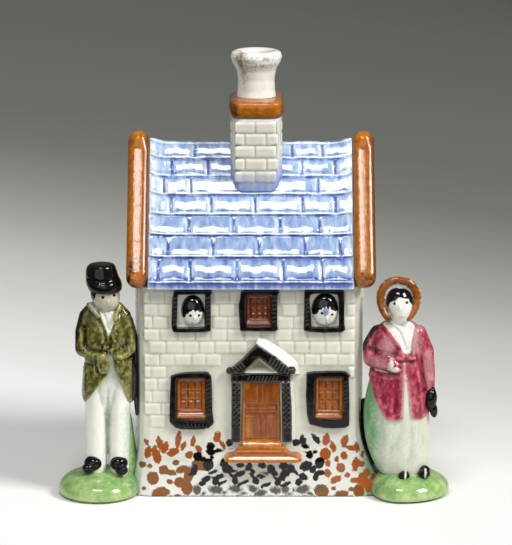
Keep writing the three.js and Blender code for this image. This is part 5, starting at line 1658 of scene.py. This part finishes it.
# Painted shade: a web of clay behind her left side, painted black, fills the gap to the wall.
shade_web = []
shade_web_spots = [(-10.0, 3.6, 27.5), (-9.7, 3.6, 19.0), (-8.8, 3.6, 14.4), (-6.2, 3.6, 9.3)]
for start, end in zip(shade_web_spots, shade_web_spots[1:]):
    shade_web += limb(start, end, 1.4, 1.4, woman)
skirt = fuse([ring_form(skirt_rings, woman)] + shade_web, 0.3, 9)
u, depth, z = seen_from_front(skirt, woman)
for foot, head, sunk in ((-6.0, -4.8, 0.35), (-1.2, 0.2, 0.12), (3.6, 3.8, 0.15), (7.4, 6.6, 0.2)):
    press(skirt, line(u, z, (foot, 8), (head, 30), 0.3), sunk, 2.0)
u, depth, z = seen_from_front(skirt, woman)
side_wash = u + 5.3 - (z - 8) * 0.04 + 0.9 * np.sin(z * 0.55)
streaks = nearest(line(u, z, (-2.2, 9), (-1.2, 24), 0.5), line(u, z, (1.4, 9), (2.2, 26), 0.4),
                  line(u, z, (4.8, 12), (4.6, 22), 0.4))
store(skirt, "green_wash_and_shade", nearest(side_wash, streaks + 1.2))
store(skirt, "moss",
      nearest(oval(u, z, (-9.0, 27), (1.3, 4.0)), oval(u, z, (-7.6, 20), (0.9, 4.0)),
              u + 10.0 + (17 - z) * 0.18))
# Painted shade: the web and the back of the gown's left side are painted black.
store(skirt, "ink", np.maximum(1.9 - depth, u + 5.2))
leave_bare(skirt, "rouge")
present(skirt, "woman_skirt", pearl_gown, pool_steps=8)

# %% [markdown]
# The jacket is one garment: a chest, a skirt that hangs over the gown in two panels with a slit
# between them, a soft belt, one arm bent with its hand at the waist and one arm hanging. The back
# panel is cut apart from the front, so that its hem runs through without the slit.

# %% Jacket
body = ring_form(
    [(21, -0.3, 0, 10.7, 7.4), (24, -0.4, 0, 10.7, 7.4), (30, -0.4, 0, 10.3, 7.0),
     (36, 0, 0, 9.2, 6.4), (40, 0, 0, 8.3, 5.8), (44, -0.2, 0, 7.9, 5.5), (48, -0.3, 0.1, 7.9, 5.4),
     (50.4, -0.2, 0.3, 7.4, 4.9), (52.4, -0.1, 0.5, 6.0, 4.2), (54.2, 0, 0.6, 4.4, 3.4)], woman, 48)
keep = prism(
    from_woman([(-14, 60), (-14, 40), (-8.6, 36.6), (-7.0, 30.6), (-4.2, 25.6), (-3.3, 24.6),
                (1.5, 24.9), (1.9, 39.4), (2.2, 39.4), (2.7, 35.0), (4.0, 25.4), (4.8, 24.9),
                (7.4, 24.5), (9.6, 25.8), (11.2, 28.4), (13, 32), (14, 60)]), far_front, far_back)
plain_back = prism(from_woman([(-9.4, 60), (-9.4, 26.0), (-4.0, 24.9), (0, 24.6), (4.5, 24.9),
                               (9.6, 26.0), (9.6, 60)]),
                   woman_y + 2.4, far_back)
body_back = carve(copy_of(body), plain_back, "INTERSECT")
body = carve(body, keep, "INTERSECT")
sleeves = limb((-6.2, 0.4, 50.4), (-8.3, 0.1, 46.4), 2.3, 2.5, woman)
sleeve_parts = [
    ((-8.3, 0.1, 46.4), (-8.1, -0.6, 42.6), 2.5, 2.5),
    ((-8.1, -0.8, 42.3), (-3.0, -4.6, 41.9), 2.4, 2.2),
    ((-3.0, -4.6, 41.9), (-1.0, -4.9, 41.6), 2.2, 1.7),
    ((6.2, 0.4, 50.2), (8.3, -0.1, 44.6), 2.4, 2.6),
    ((8.3, -0.1, 44.6), (9.0, -0.8, 36.6), 2.6, 2.4),
    ((9.0, -0.8, 36.6), (9.4, -1.2, 33.4), 2.4, 1.8),
]
for start, end, size, end_size in sleeve_parts:
    sleeves += limb(start, end, size, end_size, woman)
jacket = fuse([body, body_back] + sleeves, 0.27, 4)
neck_gap = prism(from_woman([(1.4, 44.4), (0.6, 47.2), (-2.2, 51.0), (-5.2, 54.3), (-5.2, 56.4),
                             (5.6, 56.4), (5.0, 53.6), (4.1, 48.1), (4.1, 44.4)]), far_front,
                 woman_y - 1.2)
jacket = carve(jacket, neck_gap)
softer = limb((-0.6, -5.2, 43.6), (4.8, -4.8, 43.6), 0.6, 0.55, woman)
softer += [
    egg((woman[0] - 2.3, woman_y - 6.3, 41.8), (1.0, 0.9, 2.1), (0, -14, 0)),
    egg((woman[0] - 1.2, woman_y - 6.3, 40.4), (1.6, 0.9, 1.0), (0, 8, 0)),
]
jacket = fuse([jacket] + softer, 0.27, 5)

# %% Creases of the jacket, then its paint
u, depth, z = crease(jacket, woman, [
    ([(-8.6, 46.0), (-5.4, 45.4), (-1.2, 45.0)], 0.2, 0.35, 1.4),
    ([(-7.8, 39.2), (-3.6, 38.8), (-0.6, 38.6)], 0.2, 0.35, 1.4),
    ([(5.6, 47.5), (5.9, 44.4), (6.7, 40.4), (7.2, 37.6), (8.0, 33.4)], 0.2, 0.55, 1.2),
    ([(-0.4, 42.5), (4.4, 42.6)], 0.1, 0.22, 0.8),
    ([(-6.0, 37.6), (-4.4, 29.6)], 0.1, 0.22, 1.4),
    ([(-0.6, 36.6), (-1.2, 27.0)], 0.1, 0.3, 1.3),
    ([(1.5, 41.8), (1.6, 38.0), (1.0, 26.0)], 0.1, -0.3, 0.8),
    ([(5.0, 40.2), (6.0, 31.0)], 0.1, 0.25, 1.2),
    ([(-4.8, 52.4), (-2.6, 50.0), (-0.2, 46.4)], 0.2, 0.2, 1.0),
])
front = np.where(depth < 0, 0.0, elsewhere)
left_shoulder = area(u, z,
                     [(-4.4, 56), (-4.3, 53.6), (-6.8, 51.4), (-8.6, 49.2), (-9.4, 47.0),
                      (-9.9, 44.6), (-14, 44.6), (-14, 56)])
# Painted shadow: near black between her left shoulder and the wall, and a dark line in the crease
# over her bent arm. Her back is near black as well.
store(jacket, "dark",
      nearest(left_shoulder, 4.2 - depth, line(u, z, (-9.4, 45.9), (-6.6, 45.6), 0.3) + front))
# Painted highlights in pale rose: on her right shoulder, both arms, and down the left edge of the
# slit.
store(jacket, "painted_rose_highlight",
      nearest(line(u, z, (5.6, 53), (5.3, 46), 1.6), line(u, z, (8.8, 44), (9.4, 37), 1.2),
              oval(u, z, (-3.6, 47.0), (1.4, 2.0)),
              line(u, z, (1.7, 41.6), (1.4, 27), 0.3),
              oval(u, z, (-6.2, 42.2), (1.8, 0.9))) + front + 0.3)
# The hand at her waist is painted pale, as hand and painted highlight; the lines under her forearm
# and along the slit are painted highlights.
store(jacket, "pale",
      nearest(oval(u, z, (-2.5, 41.8), (0.75, 1.9), -14), oval(u, z, (-1.2, 40.3), (1.4, 0.7)),
              line(u, z, (-7.0, 39.7), (-3.6, 39.3), 0.25),
              line(u, z, (2.2, 37.4), (1.6, 26), 0.2),
              line(u, z, (2.6, 36.0), (4.0, 26), 0.25),
              line(u, z, (2.1, 38.4), (2.3, 34.0), 0.5)) + front)
present(jacket, "woman_jacket", rose, pool_steps=8)

# %% Kerchief
kerchief = ring_form(
    [(42.6, -0.2, 0, 7, 4.8), (47, -0.5, 0.1, 7.4, 4.9), (50.4, -0.4, 0.3, 7, 4.4),
     (52.6, -0.3, 0.5, 5.8, 3.9), (54.6, -0.2, 0.4, 4.8, 3.5)], woman, 32)
keep = prism(from_woman([(1.2, 44.0), (0.4, 47.0), (-2.4, 50.8), (-5.5, 54.4), (-5.4, 56),
                         (5.8, 56), (5.3, 53.6), (4.3, 48.0), (4.3, 44.0)]), far_front,
             woman_y - 1.0)
kerchief = fuse([carve(kerchief, keep, "INTERSECT")], 0.2, 3)
crease(kerchief, woman, [
    ([(-2.6, 54), (0.4, 51), (2.2, 46)], 0.1, 0.35, 0.8),
    ([(3.6, 54), (3.2, 49), (2.6, 46)], 0.1, 0.3, 0.7),
])
leave_bare(kerchief, "ink", "rouge")
present(kerchief, "woman_kerchief", linen, pool_steps=5)

# %% [markdown]
# Her face is an egg with hardly any nose. The hair is one black stroke that frames the brow and
# ends in curls. The bonnet is a crown over the back of the head, luted to a broad rolled rim that
# the potter left open under the chin, with a white lining inside the rim.

# %% Head
woman_head = fuse(
    [ring_form([(53.2, 0.6, 0.1, 2.8, 3.0), (55.0, 0.8, -0.5, 3.1, 4.0),
                (57.6, 0.6, -0.8, 3.8, 4.5), (60.6, 0.2, -0.7, 4.5, 4.6),
                (63.2, 0.1, -0.3, 3.9, 3.9), (65.0, 0, 0, 2.2, 2.4)], woman),
     egg((woman[0] + 0.1, woman_y - 5.1, 59.3), (0.35, 0.4, 0.9))],
    0.2, 6,
)
u, depth, z = seen_from_front(woman_head, woman)
hair = area(u, z,
            [(-4.6, 58.7), (-3.2, 58.7), (-3.0, 60.0), (-2.8, 60.5), (-2.1, 61.0), (-1.6, 61.3),
             (-1.0, 61.6), (-0.4, 62.1), (0.2, 62.4), (0.9, 62.1), (1.6, 61.9), (2.0, 61.9),
             (2.7, 61.7), (3.2, 60.7), (3.7, 60.0), (4.2, 59.0), (5.2, 59.0), (5.2, 61.2),
             (4.0, 62.8), (2.8, 64.0), (1.5, 64.6), (-1.0, 64.8), (-2.4, 64.4), (-3.6, 63.2),
             (-4.6, 61.8)])
eyes = [oval(u, z, (-1.5, 60.5), (0.42, 0.42)), oval(u, z, (2.3, 60.8), (0.45, 0.4))]
store(woman_head, "ink",
      nearest(hair, 3.2 - depth, *eyes, line(u, z, (-2.0, 61.2), (-1.0, 61.3), 0.15)))
store(woman_head, "rouge", oval(u, z, (0.8, 56.3), (0.6, 0.18)))
present(woman_head, "woman_head", linen, pool_steps=4)

# %% Bonnet: the rim's middle line, from the left end over the top to the right end
bonnet_x, bonnet_z = woman[0] - 0.05, 61.8
rim_turns = [math.radians(turn) for turn in range(-146, 149, 14)]
rim_spots, rim_sizes, rim_depths = [], [], []
for turn in rim_turns:
    half = 5.4 if math.cos(turn) > 0 else 7.6
    rim_spots.append((bonnet_x + 5.5 * math.sin(turn), bonnet_z + half * math.cos(turn)))
    rim_depths.append(-1.6 - 2.3 * float(smooth((abs(turn) - 1.6) / 0.9)))
    share = min(1.0, (math.radians(150) - abs(turn)) / 0.9)
    rim_sizes.append((1.02 + 0.40 * abs(math.sin(turn)) ** 2) * share
                     + (1.0 if turn < 0 else 0.6) * (1 - share))
rim = []
for i in range(len(rim_spots) - 1):
    (x0, z0), (x1, z1) = rim_spots[i : i + 2]
    rim += limb((x0, woman_y + rim_depths[i], z0), (x1, woman_y + rim_depths[i + 1], z1),
                *rim_sizes[i : i + 2])
crown = egg((bonnet_x, woman_y + 1.4, bonnet_z - 0.2), (6.3, 6.0, 6.1))
front_cut = block((bonnet_x - 10, woman_y - 10, bonnet_z - 10),
                  (bonnet_x + 10, woman_y - 1.7, bonnet_z + 10))
crown = carve(crown, front_cut)
chin_gap = prism([(bonnet_x - 2.6, 57.0), (bonnet_x - 3.0, 49), (bonnet_x + 4.2, 49),
                  (bonnet_x + 4.0, 57.0)], far_front, woman_y + 1.5)
crown = carve(crown, chin_gap)
bonnet = fuse(rim + [crown], 0.24, 5)
x, y, z = corners(bonnet).T
from_rim = path(x, z, rim_spots, 0)
store(bonnet, "lining", np.where(y < woman_y + 5.2, 1.28 - from_rim, elsewhere))
store(bonnet, "shell", 0.2 - (y - woman_y))
store(bonnet, "scorch",
      nearest(oval(x, z, (bonnet_x - 5.6, 58.4), (0.9, 0.5)),
              oval(x, z, (bonnet_x + 5.0, 65.4), (0.7, 0.3)),
              oval(x, z, (bonnet_x - 3.2, 55.6), (0.9, 0.6))))
bonnet_glaze = glaze("iron ochre on the bonnet rim", "#a6611a", "#854812", "#4a2007", cloud=1.8,
                     cloud_share=0.60, pool_gain=2.0, ripple=0.03,
                     zones=[("scorch", "#4a2410", 0.6, 0.4), ("lining", "#e9e7dd", 0.25, 0.3),
                            ("shell", "#b9c2b4", 0.5, 0.4)])
present(bonnet, "woman_bonnet", bonnet_glaze)

# %% Bag and shoes
bag = fuse(
    [egg((woman[0] + 9.9, woman_y - 2.4, 30.2), (1.95, 2.3, 3.5), (0, 6, 0)),
     egg((woman[0] + 10.8, woman_y - 2.2, 26.9), (1.25, 1.7, 2.6), (0, -8, 0)),
     egg((woman[0] + 10.3, woman_y - 2.3, 32.8), (1.1, 1.4, 1.3))], 0.2, 3)
leave_bare(bag, "bare")
present(bag, "woman_bag", black, pool_steps=4)


def woman_shoe(node, toe, turn):
    shoe = fuse(
        [egg((woman[0] + toe[0], woman_y + toe[1], toe[2]), (1.8, 2.5, 1.5), (-12, 0, turn)),
         egg((woman[0] + toe[0] + 0.2, woman_y + toe[1] + 1.6, toe[2] + 0.7), (1.7, 2.0, 1.4),
             (0, 0, turn))], 0.18, 3)
    u, depth, z = seen_from_front(shoe, woman)
    strap = line(u, z, (toe[0] + 0.2, toe[2] - 0.8), (toe[0] + 0.5, toe[2] + 2.2), 0.55)
    store(shoe, "bare", np.where(depth < -5.4, strap, elsewhere))
    return present(shoe, node, black, pool_steps=4)


woman_shoe("woman_left_shoe", (1.9, -6.2, 7.0), -10)
woman_shoe("woman_right_shoe", (8.0, -5.6, 7.6), 22)


# %% [markdown]
# ## Floor, backdrop and light
# The piece stands on a flat sheet of paper that runs from white round the foot to grey far behind:
# the grey is painted light, the light falling off away from the piece. In front of what the camera
# sees it turns dark, or black glaze would mirror white paper and look grey. That dark part shows in
# views from the sides and the back.
# A soft box hangs in front and above, a little to the left, which draws the bright bars on slates
# and rolls. A square lamp at the right throws the shadow to the left, and a large faint panel fills
# in from the front.

# %% Paper: its painted fall-off of light from front to back, and a little from left to right
bpy.ops.mesh.primitive_plane_add(size=1, location=(0, 1.0, 0))
sweep = bpy.context.object
sweep.scale = (6.0, 5.0, 1)
settle()
sweep.name = "paper_sweep"
paper = bpy.data.materials.new("paper, matt, graded")
paper.use_nodes = True
tree = paper.node_tree
tree.nodes.clear()
place = add(tree, "ShaderNodeTexCoord").outputs["Object"]
split = add(tree, "ShaderNodeSeparateXYZ", {0: place})
lean = add(tree, "ShaderNodeMapRange",
           {"Value": split.outputs["Y"], "From Min": -0.10, "From Max": 0.05, "To Min": 0.35,
            "To Max": 0.8})
slant = add(tree, "ShaderNodeMath",
            {0: split.outputs["X"], 1: lean.outputs[0], 2: split.outputs["Y"]},
            operation="MULTIPLY_ADD")
grade_low, grade_high = -0.5, 1.1
# Painted light: the grade paints the fall-off of light on the paper.
light_falloff = add(tree, "ShaderNodeMapRange",
            {"Value": slant.outputs[0], "From Min": grade_low, "From Max": grade_high})
ramp = add(tree, "ShaderNodeValToRGB", {"Fac": light_falloff.outputs[0]})
stops = [
    (-0.50, "#33332f"), (-0.135, "#44443f"), (-0.102, "#efefed"), (0.05, "#efefed"),
    (0.078, "#e8e8e5"), (0.119, "#e4e4e0"), (0.163, "#dbdbd6"), (0.227, "#d0d0ca"),
    (0.30, "#b8b8b2"), (0.382, "#a3a39d"), (0.476, "#8e8e88"), (0.583, "#8b8b85"),
    (0.708, "#8f8f89"), (0.856, "#91918b"), (1.008, "#95958f"), (1.1, "#95958f"),
]
stops = [((place - grade_low) / (grade_high - grade_low), colour) for place, colour in stops]
ramp.color_ramp.elements[0].color = linear(stops[0][1])
ramp.color_ramp.elements[1].color = linear(stops[-1][1])
for position, colour in stops[1:-1]:
    ramp.color_ramp.elements.new(position).color = linear(colour)
# Painted light: the paper is painted lighter to the left and darker to the right.
side = add(tree, "ShaderNodeMapRange",
           {"Value": split.outputs["X"], "From Min": -0.25, "From Max": 0.25, "To Min": 1.22,
            "To Max": 0.78})
toned = add(tree, "ShaderNodeVectorMath", {0: ramp.outputs[0], "Scale": side.outputs[0]},
            operation="SCALE")
matt = add(tree, "ShaderNodeBsdfDiffuse", {"Color": toned.outputs[0]})
add(tree, "ShaderNodeOutputMaterial", {"Surface": matt.outputs[0]})
sweep.data.materials.append(paper)


# %% Lamps and a soft grey room
def soft_box(name, azimuth, rise, distance, width, height, power):
    turn, lift = math.radians(azimuth), math.radians(rise)
    way = Vector((math.sin(turn) * math.cos(lift), -math.cos(turn) * math.cos(lift),
                  math.sin(lift)))
    centre = Vector((0, 0, 0.065))
    bpy.ops.object.light_add(type="AREA", location=centre + way * distance)
    lamp = bpy.context.object
    lamp.name = name
    lamp.rotation_euler = way.to_track_quat("Z", "Y").to_euler()
    lamp.data.shape = "RECTANGLE"
    lamp.data.size = width
    lamp.data.size_y = height
    lamp.data.energy = power
    return lamp


soft_box("soft_box_above", -14, 61, 1.0, 0.36, 0.18, 4.0)
soft_box("lamp_right", 60, 42, 1.1, 0.36, 0.36, 10.0)
soft_box("front_fill", -15, 22, 2.2, 2.4, 1.6, 13.0)
world = bpy.data.worlds.new("soft grey room")
bpy.context.scene.world = world
world.use_nodes = True
world.node_tree.nodes["Background"].inputs["Color"].default_value = linear("#ffffff")
world.node_tree.nodes["Background"].inputs["Strength"].default_value = 0.18
bpy.context.scene.view_settings.view_transform = "Standard"
